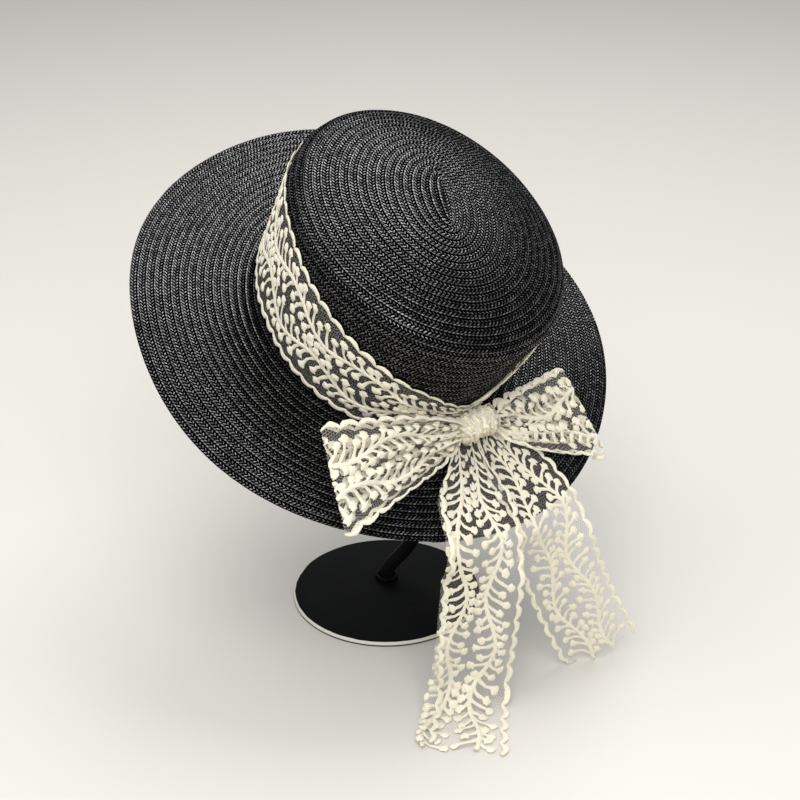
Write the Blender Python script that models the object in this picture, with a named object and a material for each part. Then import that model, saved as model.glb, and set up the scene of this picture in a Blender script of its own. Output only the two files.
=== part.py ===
"""Flat-topped straw hat with a lace band and bow, resting on a plain display stand.

Metres, +Z up. The floor is z = 0 and the origin is the middle of the stand's foot, on the floor.
The hat is modelled level in its own frame and seated, leaning, by one empty.
"""
import math

import bmesh
import bpy
from mathutils import Matrix, Vector

GAP = 0.0003              # clearance between pieces that touch

# Straw
STRAW = 0.0018            # wall of the sewn braid
BRAID = 0.0055            # width of one visible row of braid
RIDGE = 0.0006            # how far a row stands above the seam beside it

# Crown: the outer face, at the brim
CROWN_RADIUS = 0.0905     # mean of the oval's half length and half width, for a 57 cm head
CROWN_OVAL = 0.0079       # what the half length has more and the half width has less
CROWN_FLARE = 0.0087      # how much wider the wall is at its top
CROWN_HEIGHT = 0.0954     # brim to the top of the shoulder
SHOULDER = 0.016          # radius of the rounded corner
DOME_SLOPE = math.radians(20.5)   # slope of the top where it meets the shoulder
CROWN_SHIFT = (0.014, -0.0025)    # sideways set of the top over the base
CROWN_TIP = (-0.080, -0.006)      # slope of the top against the brim, along x and y

# Brim
BRIM_WIDTH = 0.0826
BRIM_DROOP = 0.0083       # fall from the crown to the edge
BRIM_WAVE = 0.0035        # height of the waves at the edge
BRIM_LOBES = 4
BRIM_CREST = math.radians(-105)   # azimuth of one crest

# Lace
LACE_WIDTH = 0.070
LACE = 0.0010             # thickness, with the embroidery
SCALLOP = 0.0124          # pitch of the scalloped edge
SCALLOP_DEPTH = 0.0024

BAND_REST = 0.0075        # height of the band's lower edge at the back
BAND_DIP = 0.007          # how far that edge sags between the back and the bow
BAND_LOWEST = 0.0008      # least height of the edge above the brim
BAND_GATHER_LEFT = math.radians(110)    # how far round from the bow the gathers reach
BAND_GATHER_RIGHT = math.radians(45)
GATHER_WIDTH = 0.021      # width of the lace where it is gathered

# Bow
BOW_AZIMUTH = math.radians(-78)
BOW_HEIGHT = 0.0190       # middle of the knot above the brim
KNOT_LENGTH = 0.031
KNOT_HEIGHT = 0.024
KNOT_DEPTH = 0.022
KNOT_ROUND = 0.8          # 1 is an oval section, less is squarer
LOOP_REACH = 0.098        # from the knot's end to a loop's fold
LOOP_PUFF = 0.0052        # half the room inside a loop
LOOP_FOLD = 0.0024        # half the thickness of its folded end
LOOP_BELLY = 0.62         # below 1, a loop fans out close to the knot
LOOP_ROOT = 0.80          # width of a loop at the knot against the gathered lace
LOOP_BEND = 0.96          # share of a loop's reach at which its fold begins to turn

# Tails
TAIL_LIFT = 0.0012        # how far lace lies above the straw
UNDER_REACH = 0.030       # depth below the brim's top within which lace is raised on to it
TAIL_CROSSING = 0.0032    # how far the left tail passes above the right one
TAIL_DROP_OUT = 0.0055    # how far the hanging lace stays out from the brim's edge
TAIL_ROOT = 0.84          # width of a tail at the knot against the gathered lace
TAIL_SPREAD = 0.050       # length over which a tail opens to its full width
TAIL_FOLD = 0.0115        # strip that is folded over along the left tail
TAIL_FOLD_LIFT = 0.0024   # height of the folded strip above the tail
FOLD_ROOT = 0.17          # share of that strip, and of its height, at the knot
FOLD_LIFT_ROOT = 0.50
TAIL_TURN = 0.030         # drop below the brim in which a tail turns to face its own way
FLOOR_CLEAR = 0.0006      # underside of the lace above the floor

# How the hat sits
HAT_CENTRE = Vector((-0.0065, 0.0178, 0.2164))
HAT_TILT = math.radians(28.8)
HAT_LEAN = math.radians(-58.6)    # azimuth the hat leans towards
HAT_SPIN = math.radians(24.0)

# Stand
BASE_RADIUS = 0.0678
BASE_THICK = 0.0032
BASE_EDGE = 0.0008
STEM_RADIUS = 0.0050
STEM_FOOT = Vector((0.0, 0.0156, 0.0))
STEM_SWING = 0.027        # how far the rod bends away from the straight line
STEM_TOP_RUN = 0.018      # straight stretch that meets the pad squarely
COLLAR_RADIUS = 0.0085
COLLAR_HEIGHT = 0.0030
COLLAR_CLEAR = 0.0013     # room round the rod inside the collar
COLLAR_EDGE = 0.0009      # bevel round the collar's top
PAD_SHARE = 0.50          # pad's radius against the radius of the crown's top
APEX_SHARE = 0.12         # the innermost row, where the braid starts
PAD_THICK = 0.0050
PAD_DRAFT = 0.96          # the pad's underside against its top

BASE_SIDES = 48
STEM_SIDES = 10
KNOT_SIDES = 14
COLLAR_SIDES = 16
HAT_SIDES = 36
UNDER_RINGS = 5           # rings of the brim's smooth underside
CROWN_SIDES = 28


def straw_material():
    return finish("black_straw", (0.018, 0.018, 0.019), 0.55, 0.0)


def lace_material():
    return finish("cream_lace", (0.86, 0.82, 0.70), 0.80, 0.0)


def stand_material():
    return finish("black_painted_metal", (0.022, 0.023, 0.025), 0.42, 0.0)


def finish(name, colour, roughness, metallic):
    found = bpy.data.materials.get(name)
    if found:
        return found
    made = bpy.data.materials.new(name)
    made.use_nodes = True
    shader = made.node_tree.nodes["Principled BSDF"]
    shader.inputs["Base Color"].default_value = (*colour, 1.0)
    shader.inputs["Roughness"].default_value = roughness
    shader.inputs["Metallic"].default_value = metallic
    return made


def clear_scene():
    for old in list(bpy.data.objects):
        bpy.data.objects.remove(old, do_unlink=True)


def add_object(name, mesh_maker, material, parent=None, smooth=35.0):
    """One named object from a bmesh, with its faces pointing out."""
    bmesh.ops.recalc_face_normals(mesh_maker, faces=mesh_maker.faces)
    mesh = bpy.data.meshes.new(name)
    mesh_maker.to_mesh(mesh)
    mesh_maker.free()
    mesh.shade_smooth()
    mesh.set_sharp_from_angle(angle=math.radians(smooth))
    mesh.materials.append(material)
    made = bpy.data.objects.new(name, mesh)
    bpy.context.collection.objects.link(made)
    made.parent = parent
    return made


def band_of_faces(bm, one, two):
    """Quads between two closed rings of vertices."""
    for i in range(len(one)):
        bm.faces.new((one[i - 1], one[i], two[i], two[i - 1]))


def skin(rings, closed):
    """Join each ring to the next. A closed profile joins the last to the first,
    an open one is capped at both ends."""
    bm = bmesh.new()
    loops = [[bm.verts.new(point) for point in ring] for ring in rings]
    for one, two in zip(loops, loops[1:]):
        band_of_faces(bm, one, two)
    if closed:
        band_of_faces(bm, loops[-1], loops[0])
    else:
        bm.faces.new(loops[0])
        bm.faces.new(loops[-1])
    return bm


# The hat's own frame: the long axis of the oval lies along y

def oval(angle, radius):
    """Point of the oval whose mean radius is given. Rows inside it run parallel to it."""
    across = max(radius - CROWN_OVAL, 0.0)
    return across * math.cos(angle), (radius + CROWN_OVAL) * math.sin(angle)


def oval_angle(azimuth, radius):
    """The oval's own angle for the direction in which its point lies."""
    across = max(radius - CROWN_OVAL, 1e-6)
    return math.atan2(math.sin(azimuth) / (radius + CROWN_OVAL), math.cos(azimuth) / across)


def round_angles(count):
    return [2 * math.pi * i / count for i in range(count)]


def relief(place):
    """Height of the braid above its seams: 0 at each seam, RIDGE along each row."""
    part = (place / BRAID) % 1.0
    crest = 0.4
    rise = part / crest if part < crest else (1.0 - part) / (1.0 - crest)
    return RIDGE * rise


def row_places(start, end):
    """Two places for each row of braid: its seam and its crest."""
    places = [start]
    row = math.floor(start / BRAID)
    while True:
        for share in (0.0, 0.4):
            here = (row + share) * BRAID
            if here >= end - 0.2 * BRAID:
                places.append(end)
                return places
            if here > start + 0.2 * BRAID:
                places.append(here)
        row += 1


# Brim

def brim_top(x, y):
    """Height of the straw's seams, without the braid's relief, over a point of the hat's frame."""
    azimuth = math.atan2(y, x)
    reach = math.hypot(x, y)
    edge_x, edge_y = oval(oval_angle(azimuth, CROWN_RADIUS), CROWN_RADIUS)
    out = (reach - math.hypot(edge_x, edge_y)) / BRIM_WIDTH
    out = min(max(out, 0.0), 1.2)
    wave = BRIM_WAVE * math.cos(BRIM_LOBES * (azimuth - BRIM_CREST))
    return -BRIM_DROOP * out ** 1.5 + wave * out * out


def brim_ring(radius, lift):
    points = []
    for angle in round_angles(HAT_SIDES):
        x, y = oval(angle, radius)
        points.append(Vector((x, y, brim_top(x, y) + lift)))
    return points


def make_brim(parent):
    inner = CROWN_RADIUS - STRAW
    outer = CROWN_RADIUS + BRIM_WIDTH
    places = row_places(-STRAW, BRIM_WIDTH)
    level = 0.6 * BRAID
    rings = []
    for place in places:
        # the crown stands on the level strip at the head opening
        lift = relief(place) if place > level else 0.0
        rings.append(brim_ring(CROWN_RADIUS + place, lift))
    for i in range(UNDER_RINGS):
        radius = outer + (inner - outer) * i / (UNDER_RINGS - 1)
        rings.append(brim_ring(radius, -STRAW))
    return add_object("brim", skin(rings, closed=True), straw_material(), parent)


# Crown

def crown_outline(inset):
    """The crown's section as arcs: lengths and a function from place to (radius, height)."""
    wall_foot = CROWN_RADIUS - inset
    wall_top = CROWN_RADIUS + CROWN_FLARE - inset
    corner = SHOULDER - inset
    corner_r = CROWN_RADIUS + CROWN_FLARE - SHOULDER
    corner_z = CROWN_HEIGHT - SHOULDER
    edge_r = corner_r + corner * math.sin(DOME_SLOPE)
    edge_z = corner_z + corner * math.cos(DOME_SLOPE)
    dome = edge_r / math.sin(DOME_SLOPE)
    wall_len = math.hypot(corner_z, CROWN_FLARE)
    corner_len = corner * (math.pi / 2 - DOME_SLOPE)
    dome_len = dome * DOME_SLOPE

    def at(place):
        if place < wall_len:
            share = place / wall_len
            return wall_foot + (wall_top - wall_foot) * share, corner_z * share
        if place < wall_len + corner_len:
            turn = (place - wall_len) / corner
            return corner_r + corner * math.cos(turn), corner_z + corner * math.sin(turn)
        turn = DOME_SLOPE - (place - wall_len - corner_len) / dome
        return dome * math.sin(turn), edge_z + dome * (math.cos(turn) - math.cos(DOME_SLOPE))

    return at, wall_len, corner_len, dome_len


def crown_set(x, y, z):
    """Carry a point of an upright crown to the leaning one."""
    share = min(max(z / (CROWN_HEIGHT - SHOULDER), 0.0), 1.0)
    slope = CROWN_TIP[0] * x + CROWN_TIP[1] * y
    return Vector((x + share * CROWN_SHIFT[0], y + share * CROWN_SHIFT[1], z + share * slope))


def crown_ring(radius, z, sides):
    return [crown_set(*oval(angle, radius), z) for angle in round_angles(sides)]


def dome_rings(inset, shares):
    """Rings of the top's underside at shares of the dome's length, counted from its middle."""
    at, wall_len, corner_len, dome_len = crown_outline(inset)
    total = wall_len + corner_len + dome_len
    return [crown_ring(*at(total - share * dome_len), CROWN_SIDES) for share in shares]


def make_crown(parent):
    at, wall_len, corner_len, dome_len = crown_outline(0.0)
    total = wall_len + corner_len + dome_len
    # the spiral starts from a straight piece of braid as long as the oval asks for
    stop = total - APEX_SHARE * dome_len
    foot = GAP
    rings = []
    step = 0.25 * BRAID
    for place in reversed(row_places(foot, stop)):
        r0, z0 = at(max(place - step, foot))
        r1, z1 = at(min(place + step, total))
        run = math.hypot(r1 - r0, z1 - z0)
        out = Vector((z1 - z0, 0.0, r0 - r1)) / run
        radius, z = at(place)
        lift = relief(place) if place > foot else 0.0
        rings.append(crown_ring(radius + out.x * lift, z + out.z * lift, CROWN_SIDES))
    inner, wall_in, corner_in, dome_in = crown_outline(STRAW)
    stops = [foot, 0.5 * wall_in, wall_in, wall_in + 0.5 * corner_in, wall_in + corner_in]
    rings += [crown_ring(*inner(place), CROWN_SIDES) for place in stops]
    rings += dome_rings(STRAW, ((1 + PAD_SHARE) / 2, PAD_SHARE, PAD_SHARE / 2, APEX_SHARE))
    return add_object("crown", skin(rings, closed=False), straw_material(), parent)


# Lace

def ease(share):
    share = min(max(share, 0.0), 1.0)
    return share * share * (3 - 2 * share)


def scallop(count):
    """Samples along a scalloped edge: share of the length and how far the edge is drawn in."""
    samples = 2 * count
    return [(i / samples, SCALLOP_DEPTH * (i % 2)) for i in range(samples + 1)]


def scallop_count(length):
    return max(3, round(length / SCALLOP))


def lace_sheet(name, rows, parent, wrap=False):
    """A sheet of lace through rows of points, given its thickness by a Solidify modifier."""
    bm = bmesh.new()
    across = len(rows[0])
    if wrap:
        loops = [[bm.verts.new(row[k]) for row in rows] for k in range(across)]
        for one, two in zip(loops, loops[1:]):
            band_of_faces(bm, one, two)
    else:
        grid = bmesh.ops.create_grid(bm, x_segments=across - 1, y_segments=len(rows) - 1, size=1)
        for vert in grid["verts"]:
            k = round((vert.co.x + 1) / 2 * (across - 1))
            i = round((vert.co.y + 1) / 2 * (len(rows) - 1))
            vert.co = rows[i][k]
    made = add_object(name, bm, lace_material(), parent)
    wall = made.modifiers.new("thickness", "SOLIDIFY")
    wall.thickness = LACE
    wall.offset = 0.0
    wall.use_rim = True
    return made


def band_edges(azimuth):
    """Heights of the band's lower and upper edge at an azimuth."""
    turn = (azimuth - BOW_AZIMUTH + math.pi) % (2 * math.pi) - math.pi
    reach = BAND_GATHER_RIGHT if turn > 0 else BAND_GATHER_LEFT
    part = min(abs(turn) / reach, 1.0)
    spread = 1.5 * part - 0.5 * part ** 3
    low_knot = BOW_HEIGHT - GATHER_WIDTH / 2
    high_knot = BOW_HEIGHT + GATHER_WIDTH / 2
    sag = BAND_DIP * 4 * spread * (1 - spread)
    low = max(low_knot + (BAND_REST - low_knot) * spread - sag, BAND_LOWEST)
    high = high_knot + (BAND_REST + LACE_WIDTH - high_knot) * spread
    return low, high, spread


def wall_point(azimuth, z, out):
    """Point off the crown's wall, which leans and flares."""
    radius = CROWN_RADIUS + CROWN_FLARE * z / (CROWN_HEIGHT - SHOULDER) + out
    return crown_set(*oval(oval_angle(azimuth, radius), radius), z)


def make_band(parent):
    out = RIDGE + GAP + LACE / 2
    girth = 2 * math.pi * (CROWN_RADIUS + out)
    count = scallop_count(girth)
    rows = []
    for share, draw in scallop(count)[:-1]:
        azimuth = BOW_AZIMUTH + math.pi + 2 * math.pi * share
        low, high, spread = band_edges(azimuth)
        draw *= spread
        rows.append([wall_point(azimuth, low + draw, out), wall_point(azimuth, high - draw, out)])
    return lace_sheet("band", rows, parent, wrap=True)


# Bow frame: u along the bow, to its right seen from outside, v up the wall, w out from it

def bow_point(u, v, w):
    angle = oval_angle(BOW_AZIMUTH, CROWN_RADIUS)
    out = Vector(((CROWN_RADIUS + CROWN_OVAL) * math.cos(angle),
                  (CROWN_RADIUS - CROWN_OVAL) * math.sin(angle), 0.0)).normalized()
    side = Vector((-out.y, out.x, 0.0))
    seat = wall_point(BOW_AZIMUTH, BOW_HEIGHT, RIDGE + 2 * GAP + LACE)
    up = (wall_point(BOW_AZIMUTH, BOW_HEIGHT + KNOT_HEIGHT, RIDGE + 2 * GAP + LACE) - seat)
    up = (up - side * up.dot(side)).normalized()
    out = side.cross(up)
    return seat + side * u + up * v + out * (w + KNOT_DEPTH / 2)


# share along the knot, share of its thickness: the lace is wound round it in soft turns
KNOT_SECTIONS = (
    (-0.50, 0.76),
    (-0.38, 0.97),
    (-0.24, 0.90),
    (-0.10, 1.00),
    (0.06, 0.92),
    (0.20, 0.99),
    (0.36, 0.95),
    (0.50, 0.74),
)


def knot_under(deep):
    """Half height of the knot's fullest turn at a share of its depth."""
    return KNOT_HEIGHT / 2 * (1 - abs(2 * deep) ** (2 / KNOT_ROUND)) ** (KNOT_ROUND / 2)


def make_knot(parent):
    rings = []
    for along, share in KNOT_SECTIONS:
        ring = []
        for angle in round_angles(KNOT_SIDES):
            c, s = math.cos(angle), math.sin(angle)
            v = math.copysign(abs(s) ** KNOT_ROUND, s) * share * KNOT_HEIGHT / 2
            w = math.copysign(abs(c) ** KNOT_ROUND, c) * share * KNOT_DEPTH / 2
            ring.append(bow_point(along * KNOT_LENGTH, v, w))
        rings.append(ring)
    return add_object("bow_knot", skin(rings, closed=False), lace_material(), parent)


# Each loop's folded end, as shares of LOOP_REACH: (u, v, w) of its upper and lower corner
LOOP_CORNERS = {
    "bow_loop_left": (-1, (0.866, 0.050, -0.42), (1.050, -0.106, 0.275)),
    "bow_loop_right": (1, (0.610, 0.092, -0.065), (0.660, -0.136, 0.565)),
}
# across a loop: share of the strip from its upper edge, which way a scallop draws it in, and
# how much of the loop's room it has
LOOP_STATIONS = (
    (0.0, 1, 0.72),
    (1 / 3, 0, 1.00),
    (2 / 3, 0, 1.00),
    (1.0, -1, 0.72),
)


def loop_frame(side, upper, lower, out):
    """Middle of a loop's strip and half its width, at a share of the way to the fold."""
    start = Vector((side * (KNOT_LENGTH / 2 + GAP + LACE / 2), 0.0, 0.0))
    root = Vector((0.0, GATHER_WIDTH * LOOP_ROOT / 2, 0.0))
    far_top = start + Vector((side * upper[0], upper[1], upper[2])) * LOOP_REACH
    far_low = start + Vector((side * lower[0], lower[1], lower[2])) * LOOP_REACH
    middle = start.lerp((far_top + far_low) / 2, out)
    half = root.lerp((far_top - far_low) / 2, out ** LOOP_BELLY)
    return middle, half


def loop_room(out):
    """Half the space inside a loop: nothing at the fold, most halfway along."""
    room = LOOP_FOLD + (LOOP_PUFF - LOOP_FOLD) * math.sin(math.pi * min(out / LOOP_BEND, 1.0))
    if out > LOOP_BEND:
        room *= math.sqrt(max(0.0, (1 - out) / (1 - LOOP_BEND)))
    return room


def loop_row(side, upper, lower, share, draw):
    """Points across one loop at a share of its strip: out along the front, back behind."""
    out = 1 - abs(2 * share - 1)          # 0 at the knot, 1 at the fold
    leaf = 1 if share < 0.5 else -1
    middle, half = loop_frame(side, upper, lower, out)
    across = -half.normalized()
    face = across.cross(Vector((side, 0.0, 0.0))).normalized() * -side
    room = loop_room(out)
    row = []
    for place, inward, bulge in LOOP_STATIONS:
        flat = middle + half * (1 - 2 * place) + across * inward * draw * out
        level = bow_point(*flat)
        point = bow_point(*(flat + face * leaf * room * bulge))
        lift = room * bulge + (point - level).z
        row.append(above_brim(point, lift))
    return row


def make_loops(parent):
    made = []
    for name, (side, upper, lower) in LOOP_CORNERS.items():
        count = scallop_count(2 * LOOP_REACH)
        rows = [loop_row(side, upper, lower, share, draw)
                for share, draw in scallop(count)]
        made.append(lace_sheet(name, rows, parent))
    return made


# Tails: down from the knot, over the brim and down to the floor

def hat_matrix():
    axis = Vector((-math.sin(HAT_LEAN), math.cos(HAT_LEAN), 0.0))
    return (Matrix.Translation(HAT_CENTRE) @ Matrix.Rotation(HAT_TILT, 4, axis)
            @ Matrix.Rotation(HAT_SPIN, 4, "Z"))


def on_brim(x, y):
    return Vector((x, y, brim_top(x, y) + RIDGE + GAP + LACE / 2 + TAIL_LIFT))


def above_brim(point, lift):
    """A point of lace in the hat's frame, raised if need be to lie on the straw below it."""
    rim = brim_edge(math.atan2(point.y, point.x), TAIL_DROP_OUT / 2)
    if math.hypot(point.x, point.y) > math.hypot(rim.x, rim.y):
        return point
    rest = on_brim(point.x, point.y).z + lift
    if rest - UNDER_REACH < point.z < rest:
        return Vector((point.x, point.y, rest))
    return point


def brim_edge(azimuth, beyond):
    """A point beyond the brim's edge, level with the lace on it."""
    radius = CROWN_RADIUS + BRIM_WIDTH + beyond
    return on_brim(*oval(oval_angle(azimuth, radius), radius))


def smooth_route(points, count):
    """Evenly spaced places on one smooth curve through the points."""
    ends = [2 * points[0] - points[1]] + points + [2 * points[-1] - points[-2]]
    fine = []
    for i in range(1, len(ends) - 2):
        a, b, c, d = ends[i - 1:i + 3]
        for k in range(12):
            t = k / 12
            fine.append(0.5 * (2 * b + (c - a) * t + (2 * a - 5 * b + 4 * c - d) * t * t
                               + (3 * b - a - 3 * c + d) * t ** 3))
    fine.append(points[-1].copy())
    reach = [0.0]
    for one, two in zip(fine, fine[1:]):
        reach.append(reach[-1] + (two - one).length)
    route = []
    seg = 0
    for i in range(count):
        want = reach[-1] * i / (count - 1)
        while seg < len(fine) - 2 and reach[seg + 1] < want:
            seg += 1
        part = (want - reach[seg]) / max(reach[seg + 1] - reach[seg], 1e-9)
        route.append(fine[seg].lerp(fine[seg + 1], min(max(part, 0.0), 1.0)))
    return route, reach[-1]


# For each tail: where it leaves the knot, as shares of the knot's length and depth, the azimuth
# at which it passes the brim's edge, the azimuth it faces as it hangs, its width against the
# lace's, its ride on the other tail, how far its foot drifts from its plumb line, how much of it
# lies on the floor, and the strip folded over along its left edge
TAILS = {
    "tail_left": dict(start=(-0.31, 0.27), edge=math.radians(-88), facing=math.radians(-85),
                      across=0.78, ride=TAIL_CROSSING, drift=(-0.0085, 0.0), on_floor=0.052,
                      fold=TAIL_FOLD),
    "tail_right": dict(start=(0.31, -0.10), edge=math.radians(-70), facing=math.radians(-75),
                       across=0.80, ride=0.0, drift=(0.044, 0.012), on_floor=0.0, fold=0.0),
}
FLOOR_AHEAD = Vector((-0.07, -1.0, 0.0))    # the way a tail runs on over the floor


def tail_points(name, seat):
    """The tail's middle line in the world: knot, brim, edge, hanging stretch, floor."""
    tail = TAILS[name]
    along, deep = tail["start"]
    under = knot_under(deep) + GAP + LACE / 2
    knot = bow_point(along * KNOT_LENGTH, -under, deep * KNOT_DEPTH)
    edge = brim_edge(tail["edge"], 0.0)
    points = [seat @ knot]
    for share in (0.33, 0.62, 0.88):
        flat = knot.lerp(edge, share)
        points.append(seat @ (on_brim(flat.x, flat.y) + Vector((0.0, 0.0, tail["ride"]))))
    hang = seat @ brim_edge(tail["edge"], TAIL_DROP_OUT + tail["ride"])
    points.append(hang - Vector((0.0, 0.0, STRAW)))
    floor = FLOOR_CLEAR + LACE / 2
    drop = Vector((*tail["drift"], floor - hang.z))
    for share in (0.25, 0.60, 0.88):
        drift = share ** 1.5
        points.append(hang + Vector((drop.x * drift, drop.y * drift, drop.z * share)))
    foot = hang + drop
    if tail["on_floor"]:
        ahead = FLOOR_AHEAD.normalized() * tail["on_floor"]
        points += [foot + ahead * share for share in (0.28, 0.64, 1.0)]
    else:
        points.append(foot)
    return points, hang


def tail_side(tail, ahead, fallen, lying):
    """Direction across the tail: along the brim where it lies, then square to its facing."""
    facing = Vector((math.cos(tail["facing"]), math.sin(tail["facing"]), 0.0))
    on_the_brim = lying.cross(ahead).normalized()
    hanging = Vector((0.0, 0.0, 1.0)).cross(facing)
    side = on_the_brim.lerp(hanging, ease(fallen / TAIL_TURN))
    side -= ahead * side.dot(ahead)
    return side.normalized()


def tail_rows(name, seat):
    tail = TAILS[name]
    points, hang = tail_points(name, seat)
    length = smooth_route(points, 2)[1]
    samples = scallop(scallop_count(length))
    route = smooth_route(points, len(samples))[0]
    lying = (seat.to_3x3() @ Vector((0.0, 0.0, 1.0))).normalized()
    root = GATHER_WIDTH * TAIL_ROOT / 2
    rows = []
    for i, (share, draw) in enumerate(samples):
        here = route[i]
        ahead = (route[min(i + 1, len(route) - 1)] - route[max(i - 1, 0)]).normalized()
        side = tail_side(tail, ahead, hang.z - here.z, lying)
        face = ahead.cross(side)
        grown = ease(share * length / TAIL_SPREAD)
        half = root + (LACE_WIDTH * tail["across"] / 2 - root) * grown
        spots = [(-half, 0.0, 0.0 if tail["fold"] else draw), (0.0, 0.0, 0.0), (half, 0.0, -draw)]
        if tail["fold"]:
            strip = tail["fold"] * max(grown, FOLD_ROOT)
            spots.insert(0, (-half + strip, TAIL_FOLD_LIFT * max(grown, FOLD_LIFT_ROOT), 0.0))
        row = []
        for offset, lift, pull in spots:
            point = here + side * (offset + pull) + face * lift
            raised = above_brim(seat.inverted() @ point, lift + tail["ride"] * grown)
            point = seat @ raised
            point.z = max(point.z, FLOOR_CLEAR + LACE / 2 + lift)
            row.append(point)
        rows.append(row)
    return rows


def make_tails(seat):
    return [lace_sheet(name, tail_rows(name, seat), None) for name in TAILS]


# Stand

def make_base():
    bm = bmesh.new()
    bmesh.ops.create_cone(bm, cap_ends=True, segments=BASE_SIDES, radius1=BASE_RADIUS, radius2=BASE_RADIUS,
                          depth=BASE_THICK, matrix=Matrix.Translation((0, 0, BASE_THICK / 2)))
    made = add_object("stand_base", bm, stand_material())
    round_edge = made.modifiers.new("edge", "BEVEL")
    round_edge.width = BASE_EDGE
    round_edge.segments = 2
    round_edge.limit_method = "ANGLE"
    return made


def pad_rim():
    """Mean radius and height of the pad's rim."""
    at, wall_len, corner_len, dome_len = crown_outline(STRAW + GAP)
    return at(wall_len + corner_len + dome_len * (1 - PAD_SHARE))


def make_pad(parent):
    """A thin cap that carries the crown, shaped to the underside of its top."""
    rings = dome_rings(STRAW + GAP, (APEX_SHARE, PAD_SHARE / 2, PAD_SHARE))
    radius, z = pad_rim()
    rings.append(crown_ring(radius * PAD_DRAFT, z - PAD_THICK, CROWN_SIDES))
    return add_object("stand_head", skin(rings, closed=False), stand_material(), parent)


# The rod's bends: share of its height, then how far it has swung off the straight line from foot
# to pad, along x and y, as shares of STEM_SWING
STEM_BENDS = (
    (0.034, 0.05, 0.04),
    (0.089, 0.55, 0.32),
    (0.200, 0.98, 0.63),
    (0.450, 0.74, 0.44),
    (0.750, 0.37, 0.44),
)


def make_stem(seat):
    """A bent round rod from the foot to the pad."""
    radius, z = pad_rim()
    axis = (seat.to_3x3() @ Vector((-CROWN_TIP[0], -CROWN_TIP[1], 1.0))).normalized()
    pad = seat @ crown_set(0.0, 0.0, z - PAD_THICK - GAP)
    foot = STEM_FOOT + Vector((0.0, 0.0, BASE_THICK + GAP))
    points = [foot]
    for height, along, back in STEM_BENDS:
        points.append(foot.lerp(pad, height) + Vector((along, back, 0.0)) * STEM_SWING)
    points += [pad - axis * STEM_TOP_RUN, pad]
    route = smooth_route(points, 26)[0]
    rings = []
    for i, here in enumerate(route):
        ahead = (route[min(i + 1, len(route) - 1)] - route[max(i - 1, 0)]).normalized()
        if i == 0:
            ahead = Vector((0.0, 0.0, 1.0))
        if i == len(route) - 1:
            ahead = axis
        side = ahead.cross(Vector((0.0, 1.0, 0.0))).normalized()
        other = side.cross(ahead)
        rings.append([here + (side * math.cos(a) + other * math.sin(a)) * STEM_RADIUS
                      for a in round_angles(STEM_SIDES)])
    return add_object("stand_stem", skin(rings, closed=False), stand_material())


def make_collar():
    """The socket that holds the rod on the base."""
    low = BASE_THICK + GAP
    high = low + COLLAR_HEIGHT
    inside = STEM_RADIUS + COLLAR_CLEAR
    section = (
        (inside, low),
        (COLLAR_RADIUS, low),
        (COLLAR_RADIUS, high - COLLAR_EDGE),
        (COLLAR_RADIUS - COLLAR_EDGE, high),
        (inside, high),
    )
    rings = []
    for radius, z in section:
        rings.append([STEM_FOOT + Vector((radius * math.cos(a), radius * math.sin(a), z))
                      for a in round_angles(COLLAR_SIDES)])
    return add_object("stand_collar", skin(rings, closed=True), stand_material())


def build():
    clear_scene()
    seat = hat_matrix()
    hat = bpy.data.objects.new("hat_seat", None)
    bpy.context.collection.objects.link(hat)
    hat.matrix_world = seat
    make_crown(hat)
    make_brim(hat)
    make_band(hat)
    make_knot(hat)
    make_loops(hat)
    make_tails(seat)
    make_base()
    make_collar()
    make_stem(seat)
    make_pad(hat)
    return hat


build()
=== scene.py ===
"""Flat-topped straw hat with a lace band and bow, leaning on its stand: surfaces and finishes.

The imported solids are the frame. The straw is sewn here as one long spiral of braid, the lace is net
with corded scalloped edges and embroidered sprays, and the stand is black paint worn at its edge.
Metres, +Z up, the bow on the -Y side.
"""
import math
import random

import bmesh
import bpy
from bpy.props import FloatProperty, FloatVectorProperty, PointerProperty
from bpy.types import Operator, Panel, PropertyGroup
from mathutils import Matrix, Vector


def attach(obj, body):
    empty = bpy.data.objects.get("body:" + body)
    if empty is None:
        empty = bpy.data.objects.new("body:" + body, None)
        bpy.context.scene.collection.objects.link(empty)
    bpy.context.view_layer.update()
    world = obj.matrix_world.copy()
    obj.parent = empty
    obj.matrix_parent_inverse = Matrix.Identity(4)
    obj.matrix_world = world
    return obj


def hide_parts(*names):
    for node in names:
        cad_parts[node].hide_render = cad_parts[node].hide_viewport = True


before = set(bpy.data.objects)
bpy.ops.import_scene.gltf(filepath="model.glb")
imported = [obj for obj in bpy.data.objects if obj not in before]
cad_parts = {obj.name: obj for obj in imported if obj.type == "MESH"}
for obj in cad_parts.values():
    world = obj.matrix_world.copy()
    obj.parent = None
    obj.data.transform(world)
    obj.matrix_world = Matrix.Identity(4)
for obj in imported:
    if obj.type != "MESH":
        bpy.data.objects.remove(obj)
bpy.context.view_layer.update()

bl_info = {
    "name": "Straw Hat on a Stand",
    "version": (1, 0, 0),
    "blender": (4, 5, 0),
    "location": "View3D > Sidebar > Hat",
    "description": "Sews the braid, the lace and the bow of a straw hat and paints its stand",
    "category": "Object",
}

BODY = "root"

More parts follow.
